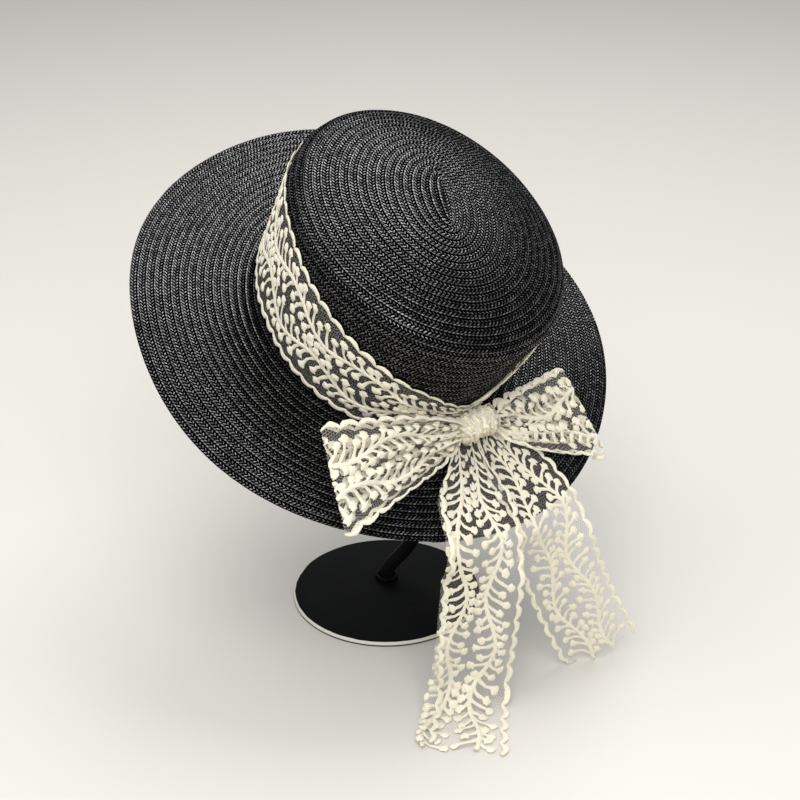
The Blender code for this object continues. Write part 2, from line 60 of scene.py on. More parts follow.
# The hat's shape, as its solids have it
GAP = 0.0003
STRAW = 0.0018            # thickness of the sewn wall
BRAID = 0.0055            # from row to row
RIDGE = 0.0006            # how far a row stands out
CROWN_RADIUS = 0.0905     # mean of the oval's two half widths
CROWN_OVAL = 0.0079       # added to the long half, taken off the short one
CROWN_FLARE = 0.0087      # how much wider the wall is at the shoulder than at its foot
CROWN_HEIGHT = 0.0954
SHOULDER = 0.016
DOME_SLOPE = math.radians(20.5)     # of the top where it meets the shoulder
CROWN_SHIFT = (0.014, -0.0025)      # of the top to one side
CROWN_TIP = (-0.080, -0.006)        # slopes of the top
BRIM_WIDTH = 0.0826
BRIM_DROOP = 0.0083
BRIM_WAVE = 0.0035
BRIM_LOBES = 4
BRIM_CREST = math.radians(-105)     # direction of one lobe's crest
HAT_CENTRE = Vector((-0.0065, 0.0178, 0.2164))
HAT_TILT = math.radians(28.8)
HAT_LEAN = math.radians(-58.6)      # direction that its top tilts towards
HAT_SPIN = math.radians(24.0)       # turn about its own axis

# The crown's spiral starts off the middle of the top, and turned against the oval
SPIRAL_SHIFT = (0.0048, 0.0010)
SPIRAL_TURN = math.radians(-14)

# A row of braid: share across it from its outer edge inwards, and height against the edge's
ROW_SECTION = ((0.0, 0.0), (0.02, 0.86), (0.14, 1.0), (0.38, 0.80), (0.70, 0.42), (1.0, 0.0))
EDGE_LANE = 0.82          # share of a row, from its inner side, where the edge's straws start

# Lace
LACE_WIDTH = 0.070
LACE = 0.0010             # thickness
SCALLOP = 0.0124          # length of one
SCALLOP_DEPTH = 0.0028
THREAD = 0.0008           # from thread to thread of a stitch
CUT_RAGGED = 0.0010       # raggedness of a cut end
CUT_WAVES = (1900, 730)   # two waves across a cut end, in radians a metre
FOLD_PRESS = 0.0085       # how far from a loop's fold its edge cords are pressed thin
FOLD_THIN = 0.55          # share of their width that is lost there

# Stitches: how thick against their width, and how uneven their edges are
CORD_STITCH = {"plump": 0.38, "ragged": 0.20}
STEM_STITCH = {"plump": 0.46, "ragged": 0.26}
TWIG_STITCH = {"plump": 0.32, "ragged": 0.36}
STEM_STEP = 0.0016        # between a stem's points
TWIG_AT = (0.0, 0.156, 0.312, 0.468, 0.624)    # shares of a twig where it has points
DOT_AT = (-0.97, -0.82, -0.52, -0.20, 0.12, 0.44, 0.74, 0.93, 1.0)
TWIG_SHORT = 0.62         # reach of every other pair, against the pairs between
TWIG_LONGEST = 0.0150
TWIG_RUN = 0.0052         # least run of a twig along its stem
TWIG_TUCK = 0.003         # how far before its lace a first twig may start

# Band
BAND_REST = 0.0075        # its lower edge, above the crown's foot
BAND_DIP = 0.007
BAND_LOWEST = 0.0008
BAND_GATHER_LEFT = math.radians(110)    # how far round from the bow it is gathered
BAND_GATHER_RIGHT = math.radians(45)
BAND_PLEATS = 5.5
BAND_PINCH = 0.0085       # how much narrower it is drawn at the bow
PINCH_REACH = math.radians(28)          # how far round from the bow that goes
BAND_RIDE = 0.0055        # how far it rides up at the crown's left side
RIDE_START = math.radians(82)           # where round from the bow that starts
RIDE_GROW = math.radians(30)            # how far round it grows, and fades again behind
RIDE_FADE = math.radians(50)
BAND_SOFT = 0.0005        # how far it stands off the straw in its soft waves
GATHER_WIDTH = 0.021      # of gathered lace at the bow

# Bow
BOW_AZIMUTH = math.radians(-78)
BOW_HEIGHT = 0.0190
KNOT_LENGTH = 0.031
KNOT_HEIGHT = 0.024
KNOT_DEPTH = 0.022
KNOT_ROUND = 0.8          # power of its section, 1 for an ellipse and less for a box
KNOT_SINK = 0.0050        # how far the lace of the knot sits below the middle of its solid
KNOT_PLEATS = 4.5
KNOT_CREASE = 0.42        # depth of its creases, and of its lumps, against a pleat
KNOT_LUMPS = 0.38
KNOT_LACE = 0.045         # width of the lace, drawn together
KNOT_SCALLOPS = 5         # once round it
KNOT_SECTIONS = (         # place along the knot, and share of its full thickness there
    (-0.5, 0.60), (-0.44, 0.86), (-0.30, 0.97), (-0.12, 1.00), (0.06, 0.95), (0.22, 1.00),
    (0.36, 0.97), (0.45, 0.84), (0.5, 0.60),
)
CORE_SHARE = 0.98         # length of the bunched core against the knot's
LOOP_REACH = 0.103
LOOP_PUFF = 0.0052        # half the room inside a loop, halfway out and near its fold
LOOP_FOLD = 0.0024
LOOP_BELLY = 0.62         # power with which a loop widens from the knot
LOOP_ROOT = 0.80          # its width at the knot, against the gathered width
LOOP_BEND = 0.96          # share of its reach where the fold starts
LOOP_PLEATS = 5.5
LOOP_PLEAT = 1.28         # height of its pleats, against a pleat
PLEAT_FADE = 0.60
LOOP_BULGE = 0.28         # how much less room there is inside it at its edges
LOOP_NARROW = 0.10        # how much narrower the front of a loop is than its back
FRONT_SAG = 0.50          # share of its downward sag that its front takes
LOOP_TUCK = 0.0035        # how far it starts inside the knot
LOOP_SINK = 0.0040        # how far it starts below the middle of the knot's solid

# Each loop: its side, its two far corners as shares of its reach, and how far its lower edge
# sags down and outwards
LOOPS = {
    "bow_loop_left": (-1, (0.866, 0.050, -0.42), (1.050, -0.106, 0.275), (0.0, 0.0)),
    "bow_loop_right": (1, (0.615, 0.108, -0.078), (0.705, -0.132, 0.568), (0.0160, 0.0125)),
}

# Tails
TAIL_LIFT = 0.0012        # of lace off the brim's rows
UNDER_REACH = 0.030       # how far below the brim's top lace still counts as lying on it
TAIL_CROSSING = 0.0032    # how far the left tail rides over the right one
TAIL_DROP_OUT = 0.0055    # how far beyond the brim's edge a tail hangs
TAIL_ROOT = 0.84          # its width at the knot, against the gathered width
TAIL_SPREAD = 0.050       # length over which it spreads from there
TAIL_FOLD = 0.0115        # width of the folded strip, and its height
TAIL_FOLD_LIFT = 0.0024
FOLD_ROOT = 0.17          # shares of the two that it has at the knot
FOLD_LIFT_ROOT = 0.50
FOLD_NARROW = 0.55        # share of its width before it opens, and what it gains
FOLD_GAIN = 0.65
FOLD_OPENS = 0.62         # shares of the tail's length: where it starts to open, and how long it takes
FOLD_OPENING = 0.25
TAIL_TURN = 0.030         # fall over which it turns from the brim's slope to hanging
TAIL_PLEATS = 1.25
TAIL_PLEAT = 0.45         # height of its pleats, against a pleat
TAIL_RIPPLE = 0.0021
RIPPLE_FALL = 0.05        # fall over which its ripples grow
FLARE_START = 0.68        # share of its length
FLOOR_CLEAR = 0.0006

# Where a tail has points: shares of its way over the brim, down to the floor, and out on it
LYING_AT = (0.33, 0.62, 0.88)
HANGING_AT = (0.25, 0.60, 0.88)
FLOOR_AT = (0.28, 0.64, 1.0)
FLOOR_AHEAD = Vector((-0.07, -1.0, 0.0)).normalized()

# Each tail. start: its place at the knot, as shares of the knot's length and depth. edge, facing:
# where it crosses the brim's edge, and the way it faces below. across: share of the lace's width.
# ride: how far it is lifted over the other tail. drift: how far its foot lies to the right and to
# the back of the brim's edge. on_floor: length on the floor. grow: the way its twigs point.
TAILS = {
    "tail_left": dict(start=(-0.31, 0.27), edge=math.radians(-88), facing=math.radians(-85),
                      across=0.78, ride=TAIL_CROSSING, drift=(-0.0085, 0.0), on_floor=0.054,
                      fold=TAIL_FOLD, flare=0.0055, cut=0.007, grow=1),
    "tail_right": dict(start=(0.31, -0.10), edge=math.radians(-70), facing=math.radians(-75),
                       across=0.80, ride=0.0, drift=(0.044, 0.012), on_floor=0.0, fold=0.0,
                       flare=0.0, cut=-0.003, grow=-1),
}

# Stand
BASE_RADIUS = 0.0678
BASE_THICK = 0.0032
BASE_EDGE = 0.0008
STEM_RADIUS = 0.0050
STEM_FOOT = Vector((0.0, 0.0156, 0.0))
STEM_SWING = 0.027
STEM_TOP_RUN = 0.018      # its straight end under the cap
COLLAR_RADIUS = 0.0085
COLLAR_HEIGHT = 0.0030
COLLAR_CLEAR = 0.0013     # between the rod and its socket
COLLAR_EDGE = 0.0009
PAD_SHARE = 0.50          # how far out under the crown's top the cap reaches
PAD_THICK = 0.0050

# The rod's bends: share of its height, and shares of its swing to the right and to the back
STEM_BENDS = (
    (0.034, 0.05, 0.04),
    (0.089, 0.55, 0.32),
    (0.200, 0.98, 0.63),
    (0.450, 0.74, 0.44),
    (0.750, 0.37, 0.44),
)

# How finely the surfaces are made
CROWN_TURN = 216          # steps in one turn of the spiral
BRIM_TURN = 288
LACE_STEP = 0.0020        # between rows of a ribbon
ACROSS = 44               # faces across a ribbon
STITCH_SIDES = 6
CORD_STEPS = 10           # along one scallop
KNOT_STEPS = 72           # round the knot
CORE_STEPS = 24           # along the core, and its sides
CORE_SIDES = 48
ROD_STEPS = 71
ROD_SIDES = 28
DISC_SIDES = 160
COLLAR_SIDES = 64
ROUTE_STEPS = 12          # from point to point of a smooth route
MERGE = 0.000002          # closer points are made one
SMOOTH = math.radians(50)           # edges that turn more than this stay sharp

# Stage: each lamp's place, width, and power against the key light's
LAMPS = {
    "key": ((-0.95, -0.25, 2.10), 1.9, 1.0),
    "fill": ((0.05, -1.6, 1.75), 1.6, 1.70),
    "back": ((0.32, 0.80, 1.95), 1.3, 0.95),
}
ROOM_TINT = (0.93, 0.95, 1.0, 1.0)
FLOOR_HALF = 8.0
CAMERA_PLACE = (0.00984, -0.98146, 0.65588)
CAMERA_TILT = math.radians(63.1)
CAMERA_LENS = 72.0
CAMERA_SENSOR = 36.0


# Settings that a user would change

class StrawLook(PropertyGroup):
    """Sizes and colours of the sewn braid."""

    edge: FloatProperty(name="Row edge", description="Height of a row's outer edge above the next row",
                        default=0.0008, unit="LENGTH")
    pitch: FloatProperty(name="Straw pitch", description="Distance from straw to straw along the braid",
                         default=0.0027, unit="LENGTH")
    dash: FloatProperty(name="Edge pitch", description="Length of one straw's turn along the row's edge",
                        default=0.0025, unit="LENGTH")
    lanes: FloatProperty(name="Lanes", description="Straws that cross one row", default=2.0)
    bump: FloatProperty(name="Plait depth", description="Depth of the plait", default=0.00045,
                        unit="LENGTH")
    # Painted shade: the colour between the straws and in the seam under each row's edge
    deep: FloatVectorProperty(name="Painted straw shade", description="Colour between the straws",
                              default=(0.0012, 0.0012, 0.0013), size=3, subtype="COLOR")
    straw: FloatVectorProperty(name="Straw", description="Colour of the straws",
                               default=(0.008, 0.0079, 0.0078), size=3, subtype="COLOR")
    # Painted highlight: the colour of straws that glint and of the rows' raised edges
    glint: FloatVectorProperty(name="Painted straw glint", description="Colour painted on glinting straws and row edges",
                               default=(0.12, 0.118, 0.115), size=3, subtype="COLOR")


class LaceLook(PropertyGroup):
    """Sizes and colours of the net and its embroidery."""

    cord: FloatProperty(name="Edge cord", description="Width of the cord along the scallops",
                        default=0.0038, unit="LENGTH")
    stem: FloatProperty(name="Stem", description="Width of a spray's main stem", default=0.0030,
                        unit="LENGTH")
    twig: FloatProperty(name="Twig", description="Width of a twig", default=0.0023, unit="LENGTH")
    dot: FloatProperty(name="Dot", description="Diameter of the dot at a twig's end",
                       default=0.0059, unit="LENGTH")
    pitch: FloatProperty(name="Twig pitch", description="Distance between twigs along a stem",
                         default=0.0066, unit="LENGTH")
    wave: FloatProperty(name="Wave", description="How far a stem swings to each side",
                        default=0.0052, unit="LENGTH")
    wavelength: FloatProperty(name="Wavelength", description="Length of one swing of a stem",
                              default=0.075, unit="LENGTH")
    sprays: FloatProperty(name="Spray place", description="Distance of the stems from the middle",
                          default=0.0125, unit="LENGTH")
    hole: FloatProperty(name="Net hole", description="Distance from hole to hole of the net",
                        default=0.0017, unit="LENGTH")
    pleat: FloatProperty(name="Pleat", description="Height of the gathers at the bow", default=0.0022,
                         unit="LENGTH")
    thread: FloatVectorProperty(name="Thread", description="Colour of the embroidery",
                                default=(0.97, 0.925, 0.765), size=3, subtype="COLOR")
    # Painted shade: the colour down between the threads of a stitch, and in the knot's creases
    shade: FloatVectorProperty(name="Thread shade", description="Colour between the threads",
                               default=(0.78, 0.69, 0.49), size=3, subtype="COLOR")
    bunch: FloatVectorProperty(name="Bunched thread", description="Colour of the lace inside the knot",
                               default=(1.0, 0.93, 0.71), size=3, subtype="COLOR")
    net: FloatVectorProperty(name="Net", description="Colour of the net", default=(0.76, 0.71, 0.61),
                             size=3, subtype="COLOR")


class StandLook(PropertyGroup):
    """Sizes and colours of the stand."""

    paint: FloatVectorProperty(name="Paint", description="Colour of the paint",
                               default=(0.0030, 0.0033, 0.0033), size=3, subtype="COLOR")
    worn: FloatVectorProperty(name="Worn edge", description="Colour where the paint is rubbed off",
                              default=(0.66, 0.64, 0.56), size=3, subtype="COLOR")
    wear: FloatProperty(name="Wear", description="Width of the rubbed rim", default=0.0011,
                        unit="LENGTH")


class StageLook(PropertyGroup):
    """Floor and light."""

    floor: FloatVectorProperty(name="Floor", description="Colour of the floor",
                               default=(0.612, 0.590, 0.540), size=3, subtype="COLOR")
    key: FloatProperty(name="Key light", description="Strength of the main light", default=24.0,
                       unit="POWER")
    sky: FloatProperty(name="Room light", description="Strength of the light from all round",
                       default=0.42)


# Materials: a node's output that works in Python sums, and one method that makes any node

class Wire:
    """One output of a node tree, for use in arithmetic."""

    def __init__(self, finish, socket):
        self.finish = finish
        self.socket = socket

    def maths(self, operation, *values):
        return self.finish.node("ShaderNodeMath", {"operation": operation}, dict(enumerate(values)))

    def __add__(self, other):
        return self.maths("ADD", self, other)

    __radd__ = __add__

    def __sub__(self, other):
        return self.maths("SUBTRACT", self, other)

    def __rsub__(self, other):
        return self.maths("SUBTRACT", other, self)

    def __mul__(self, other):
        return self.maths("MULTIPLY", self, other)

    __rmul__ = __mul__

    def __truediv__(self, other):
        return self.maths("DIVIDE", self, other)

    def __pow__(self, other):
        return self.maths("POWER", self, other)

    def __mod__(self, other):
        return self.maths("FLOORED_MODULO", self, other)

    def __abs__(self):
        return self.maths("ABSOLUTE", self)

    def floor(self):
        return self.maths("FLOOR", self)

    def wave(self):
        """1 at whole numbers, -1 halfway between them."""
        return self.maths("COSINE", self * (2 * math.pi))

    def rise(self, low, high):
        """0 below low, 1 above high, smooth between them."""
        return self.finish.node("ShaderNodeMapRange", {"interpolation_type": "SMOOTHSTEP"},
                                {0: self, 1: low, 2: high, 3: 0.0, 4: 1.0})


class Finish:
    """A material, its shader and the nodes that feed it."""

    def __init__(self, name):
        self.material = bpy.data.materials.new(name)
        self.material.use_nodes = True
        self.tree = self.material.node_tree
        self.shader = self.tree.nodes["Principled BSDF"]

    def node(self, kind, settings=None, sockets=None, output=0):
        """A new node: its settings are set first, then its sockets are fed."""
        made = self.tree.nodes.new(kind)
        for key, value in (settings or {}).items():
            setattr(made, key, value)
        for key, value in (sockets or {}).items():
            self.feed(made.inputs[key], value)
        return Wire(self, made.outputs[output])

    def feed(self, socket, value):
        """Links a wire to a socket, or gives the socket a plain value."""
        if isinstance(value, Wire):
            self.tree.links.new(value.socket, socket)
        elif socket.type == "RGBA":
            socket.default_value = (*value[:3], 1.0)
        else:
            socket.default_value = value

    def surface(self, **values):
        """Feeds the shader; an underscore in a name stands for a space."""
        for key, value in values.items():
            self.feed(self.shader.inputs[key.replace("_", " ")], value)
        return self.material

    def mix(self, share, low, high):
        return self.node("ShaderNodeMix", {"data_type": "RGBA"}, {0: share, 6: low, 7: high}, 2)

    def split(self, vector):
        """The three parts of a vector."""
        first = self.node("ShaderNodeSeparateXYZ", None, {0: vector})
        return [Wire(self, output) for output in first.socket.node.outputs]

    def uv(self, layer):
        """The two coordinates of a UV map."""
        return self.split(self.node("ShaderNodeUVMap", {"uv_map": layer}))[:2]

    def place(self):
        """The object coordinates."""
        return self.node("ShaderNodeTexCoord", None, None, "Object")

    def vector(self, x, y, z=0.0):
        return self.node("ShaderNodeCombineXYZ", None, {0: x, 1: y, 2: z})

    def noise(self, vector, scale, detail=2.0):
        return self.node("ShaderNodeTexNoise", None, {"Vector": vector, "Scale": scale, "Detail": detail})

    def chance(self, vector):
        """A steady random number for each whole place."""
        return self.node("ShaderNodeTexWhiteNoise", {"noise_dimensions": "3D"}, {"Vector": vector})

    def bump(self, height, distance):
        return self.node("ShaderNodeBump", None,
                         {"Strength": 1.0, "Distance": distance, "Height": height})


def straw_finish(look):
    """Black paper straw, plaited: u runs along the braid in metres, v from 0 to 1 at its outer edge."""
    made = Finish("plaited_straw")
    u, v = made.uv("braid")
    edge = v.rise(EDGE_LANE - 0.02, EDGE_LANE + 0.02)
    # The seam under each row's edge is kept low in the plait, so it takes the painted shade below
    open_part = v.rise(0.05, 0.18) * (1.0 - v.rise(0.96, 0.98))
    # Straws cross the row in lanes, and each lane slants the other way from the last
    lane = v * (look.lanes / EDGE_LANE)
    across = lane % 1.0
    turn = (lane.floor() % 2.0) * 2.0 - 1.0
    along = u / look.pitch + turn * (across - 0.5) * 0.8 + lane.floor() * 0.37
    strand = 1.0 - abs((along % 1.0) - 0.5) * 2.0
    lane_top = (1.0 - abs(across - 0.5) * 2.0) ** 0.3
    # The edge's straws turn over it, as slanting dashes
    slant = u / look.dash + v * 2.4
    dash = 1.0 - abs((slant % 1.0) - 0.5) * 2.0
    height = (strand * lane_top * (1.0 - edge) * 0.9 + (dash ** 0.6) * edge) * open_part
    # Each straw has its own chance of a painted glint, a pale colour that stands in for its sheen, and of
    # being glossy
    inner = made.chance(made.vector(along.floor(), lane.floor(), (u / 0.5).floor()))
    outer = made.chance(made.vector(slant.floor(), 7.0, 0.0))
    luck = inner * (1.0 - edge) + outer * edge
    place = made.place()
    patches = made.noise(place, 22.0, 3.0)
    # Painted highlight: straws picked by chance, in patches, and each row's raised edge are made pale
    pale = (luck ** 2.2) * (patches * 1.2 + 0.1) + edge * 0.22
    # Painted shade: where the plait dips, between the straws and in the seams, it takes the deep colour
    top = height.rise(0.46, 0.66)
    colour = made.mix(top, look.deep, made.mix(pale, look.straw, look.glint))
    return made.surface(Base_Color=colour, Roughness=0.75, Specular_IOR_Level=0.0,
                        Coat_Weight=top * (luck * 0.8 + 0.35), Coat_Roughness=0.27, Coat_IOR=2.0,
                        Normal=made.bump(height, look.bump))


def net_finish(look):
    """Fine net: hexagonal holes between threads, in the lace's own flat coordinates."""
    made = Finish("lace_net")
    x, y = made.uv("flat")
    turns = (x / look.hole, (x * 0.5 + y * 0.866) / look.hole, (y * 0.866 - x * 0.5) / look.hole)
    holes = turns[0].wave() + turns[1].wave() + turns[2].wave()
    thread = 1.0 - holes.rise(-1.25, -0.35)
    place = made.place()
    tone = made.mix(made.noise(place, 60.0), look.net, tuple(c * 1.25 for c in look.net))
    return made.surface(Base_Color=tone, Roughness=0.85, Alpha=thread * 0.20 + 0.01,
                        Specular_IOR_Level=0.2, Normal=made.bump(thread, 0.0002))


def thread_finish(look):
    """Satin stitch: threads lie side by side across each stitch."""
    made = Finish("lace_thread")
    u, v = made.uv("stitch")
    rows = u / THREAD + (v * 2.0).wave() * 0.35
    thread = (1.0 - abs((rows % 1.0) - 0.5) * 2.0) ** 0.6
    luck = made.chance(made.vector(rows.floor(), 0.0, 0.0))
    place = made.place()
    tone = made.noise(place, 45.0, 2.0)
    # Painted shade: darker between the threads, with a random tone for each thread and in patches
    share = thread * 0.7 + luck * 0.3 + tone * 0.2 - 0.07
    colour = made.mix(share, look.shade, look.thread)
    return made.surface(Base_Color=colour, Roughness=0.72, Sheen_Weight=0.25, Sheen_Roughness=0.4,
                        Specular_IOR_Level=0.3, Subsurface_Weight=0.12,
                        Subsurface_Radius=(0.004, 0.003, 0.002),
                        Normal=made.bump(thread + luck * 0.3, 0.00032))


def bunch_finish(look):
    """Layers of net drawn together: creases that run round the knot, with stitched lumps between."""
    made = Finish("lace_bunch")
    u = made.uv("stitch")[0]
    place = made.place()
    wander = made.noise(place, 70.0, 3.0)
    crease = (u / 0.0021 + wander * 1.3).wave() * 0.5 + 0.5
    lumps = made.node("ShaderNodeTexVoronoi", {"feature": "F1"}, {"Vector": place, "Scale": 260.0})
    height = crease * 0.6 + (1.0 - lumps) * 0.6
    # Painted shade: the lace is darker down in the creases and round the lumps
    colour = made.mix(height.rise(-0.3, 0.5), look.shade, look.bunch)
    return made.surface(Base_Color=colour, Roughness=0.8, Sheen_Weight=0.2,
                        Specular_IOR_Level=0.25, Normal=made.bump(height, 0.0010))


def paint_finish(look, name, worn):
    """Black satin paint, and where asked its rubbed rim on the side that is handled."""
    made = Finish(name)
    place = made.place()
    x, y, z = made.split(place)
    dust = made.noise(place, 90.0, 4.0)
    broad = made.noise(place, 14.0, 2.0)
    colour = made.mix(dust.rise(0.45, 0.75) * 0.35 + broad * 0.2, look.paint,
                      tuple(c * 2.6 for c in look.paint))
    rough = 0.36 + broad * 0.16
    if worn:
        out = made.node("ShaderNodeVectorMath", {"operation": "LENGTH"},
                        {0: made.vector(x, y)}, "Value")
        chips = made.noise(place, 120.0, 3.0)
        rim = (out + chips * look.wear).rise(BASE_RADIUS - look.wear * 0.85,
                                             BASE_RADIUS - look.wear * 0.45)
        side = (x * -0.45 - y * 0.9) / BASE_RADIUS
        handled = (side + made.noise(place, 26.0) * 0.8).rise(0.35, 0.62)
        chipped = rim * handled * z.rise(BASE_THICK * 0.25, BASE_THICK * 0.5)
        colour = made.mix(chipped, colour, look.worn)
        rough = rough + chipped * 0.3
    return made.surface(Base_Color=colour, Roughness=rough, Specular_IOR_Level=0.05,
                        Normal=made.bump(dust, 0.00012))


def floor_finish(look):
    """Pale floor, very slightly cloudy."""
    made = Finish("pale_floor")
    place = made.place()
    cloud = made.noise(place, 3.0, 2.0)
    colour = made.mix(cloud * 0.5, look.floor, tuple(c * 0.97 for c in look.floor))
    return made.surface(Base_Color=colour, Roughness=0.55, Specular_IOR_Level=0.3)


# Making and placing pieces

def draw_grid(bm, along, across, place, layer=None, mark=None):
    """A grid of along by across faces, each corner moved to place(i, k), with mark(i, k) as its UV."""
    for vert in bmesh.ops.create_grid(bm, x_segments=along, y_segments=across, size=1.0)["verts"]:
        i = round((vert.co.x + 1) / 2 * along)
        k = round((vert.co.y + 1) / 2 * across)
        vert.co = place(i, k)
        if layer:
            spot = mark(i, k)
            for corner in vert.link_loops:
                corner[layer].uv = spot


def add_piece(name, bm, material, replaces=(), merge=MERGE):
    """A finished piece on the frame's only body."""
    if merge:
        bmesh.ops.remove_doubles(bm, verts=bm.verts, dist=merge)
    bmesh.ops.recalc_face_normals(bm, faces=bm.faces)
    mesh = bpy.data.meshes.new(name)
    bm.to_mesh(mesh)
    bm.free()
    mesh.shade_smooth()
    mesh.set_sharp_from_angle(angle=SMOOTH)
    mesh.materials.append(material)
    piece = bpy.data.objects.new(name, mesh)
    bpy.context.scene.collection.objects.link(piece)
    if replaces:
        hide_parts(*replaces)
    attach(piece, BODY)
    return piece


def ease(share):
    """A smooth step from 0 to 1."""
    share = min(max(share, 0.0), 1.0)
    return share * share * (3 - 2 * share)


# The hat's own frame: the long axis of the oval lies along y

def oval(angle, radius):
    """A place on the oval whose mean radius is given."""
    across = max(radius - CROWN_OVAL, 0.0)
    return across * math.cos(angle), (radius + CROWN_OVAL) * math.sin(angle)


def oval_angle(azimuth, radius):
    """The oval's own angle for a direction seen from its middle."""
    across = max(radius - CROWN_OVAL, 1e-6)
    return math.atan2(math.sin(azimuth) / (radius + CROWN_OVAL), math.cos(azimuth) / across)


def hat_matrix():
    """Where the stand holds the hat: turned about its own axis, tilted and set in its place."""
    axis = Vector((-math.sin(HAT_LEAN), math.cos(HAT_LEAN), 0.0))
    return (Matrix.Translation(HAT_CENTRE) @ Matrix.Rotation(HAT_TILT, 4, axis)
            @ Matrix.Rotation(HAT_SPIN, 4, "Z"))


SEAT = hat_matrix()


def brim_top(x, y):
    """Height of the brim's upper side, drooped and a little wavy."""
    azimuth = math.atan2(y, x)
    edge_x, edge_y = oval(oval_angle(azimuth, CROWN_RADIUS), CROWN_RADIUS)
    out = (math.hypot(x, y) - math.hypot(edge_x, edge_y)) / BRIM_WIDTH
    out = min(max(out, 0.0), 1.2)
    wave = BRIM_WAVE * math.cos(BRIM_LOBES * (azimuth - BRIM_CREST))
    return -BRIM_DROOP * out ** 1.5 + wave * out * out


def crown_section():
    """Length of the crown's section to where its rows end, and its (radius, height) at a place."""
    wall_top = CROWN_RADIUS + CROWN_FLARE
    corner_r = wall_top - SHOULDER
    corner_z = CROWN_HEIGHT - SHOULDER
    edge_r = corner_r + SHOULDER * math.sin(DOME_SLOPE)
    edge_z = corner_z + SHOULDER * math.cos(DOME_SLOPE)
    dome = edge_r / math.sin(DOME_SLOPE)
    wall_len = math.hypot(corner_z, CROWN_FLARE)
    corner_len = SHOULDER * (math.pi / 2 - DOME_SLOPE)

    def at(place):
        if place < wall_len:
            share = place / wall_len
            return CROWN_RADIUS + CROWN_FLARE * share, corner_z * share
        if place < wall_len + corner_len:
            turn = (place - wall_len) / SHOULDER
            return corner_r + SHOULDER * math.cos(turn), corner_z + SHOULDER * math.sin(turn)
        turn = DOME_SLOPE - (place - wall_len - corner_len) / dome
        return dome * math.sin(turn), edge_z + dome * (math.cos(turn) - math.cos(DOME_SLOPE))

    slit = math.asin(CROWN_OVAL / dome)
    return wall_len + corner_len + dome * (DOME_SLOPE - slit), at


def crown_set(x, y, z):
    """The crown leans to one side and its flat top slopes, both growing with height."""
    share = min(max(z / (CROWN_HEIGHT - SHOULDER), 0.0), 1.0)
    slope = CROWN_TIP[0] * x + CROWN_TIP[1] * y
    return Vector((x + share * CROWN_SHIFT[0], y + share * CROWN_SHIFT[1], z + share * slope))


def wall_point(azimuth, z, out):
    """A point off the crown's wall."""
    radius = CROWN_RADIUS + CROWN_FLARE * z / (CROWN_HEIGHT - SHOULDER) + out
    return crown_set(*oval(oval_angle(azimuth, radius), radius), z)


# Straw

def sew_rows(name, start, end, surface, turn_steps, outward, look, material):
    """One long strip of braid, wound round and round, on the points of surface(place, angle, lift).
    outward is 1 where the spiral grows towards its rows' outer edges, else -1."""
    section = ROW_SECTION if outward < 0 else [(1 - s, h) for s, h in reversed(ROW_SECTION)]
    turns = (end - start) / BRAID + 1
    steps = math.ceil(turns * turn_steps)
    middles = []
    length = 0.0
    last = None
    for i in range(steps + 1):
        place = min(max(start + (i / turn_steps - 0.5) * BRAID, start), end)
        here = surface(place, 2 * math.pi * i / turn_steps, 0.0)
        length += (here - last).length if last else 0.0
        middles.append(length)
        last = here

    def spot(i, k):
        share, height = section[k]
        place = start + (i / turn_steps - 1 + share) * BRAID
        lift = look.edge * height
        if place <= start or place >= end:
            lift = 0.0
        return surface(min(max(place, start), end), 2 * math.pi * i / turn_steps, lift)

    def mark(i, k):
        share = section[k][0]
        return middles[i], share if outward > 0 else 1 - share

    bm = bmesh.new()
    layer = bm.loops.layers.uv.new("braid")
    draw_grid(bm, steps, len(section) - 1, spot, layer, mark)
    bmesh.ops.remove_doubles(bm, verts=bm.verts, dist=MERGE)
    bmesh.ops.dissolve_degenerate(bm, dist=MERGE, edges=bm.edges)
    piece = add_piece(name + "_braid", bm, material, (name,), merge=0.0)
    wall = piece.modifiers.new("straw", "SOLIDIFY")
    wall.thickness = STRAW
    wall.offset = -1.0
    wall.use_rim = True


def crown_surface():
    """Where the crown's rows start and end, measured along its section, and their surface."""
    end, at = crown_section()
    rim = CROWN_RADIUS + CROWN_FLARE - SHOULDER

    def surface(place, angle, lift):
        radius, z = at(place)
        ahead_r, ahead_z = at(min(place + 0.001, end))
        back_r, back_z = at(max(place - 0.001, 0.0))
        run = math.hypot(ahead_r - back_r, ahead_z - back_z)
        radius += lift * (ahead_z - back_z) / run
        z += lift * (back_r - ahead_r) / run
        x, y = oval(angle, radius)
        inward = max(1 - radius / rim, 0.0)
        c, s = math.cos(SPIRAL_TURN * inward), math.sin(SPIRAL_TURN * inward)
        x, y = x * c - y * s, x * s + y * c
        return SEAT @ crown_set(x + SPIRAL_SHIFT[0] * inward, y + SPIRAL_SHIFT[1] * inward, z)

    return GAP, end, surface


def brim_surface():
    """Where the brim's rows start and end, measured out from the crown, and their surface."""
    def surface(place, angle, lift):
        x, y = oval(angle, CROWN_RADIUS + place)
        return SEAT @ Vector((x, y, brim_top(x, y) + lift))

    return -STRAW, BRIM_WIDTH, surface


# Lace

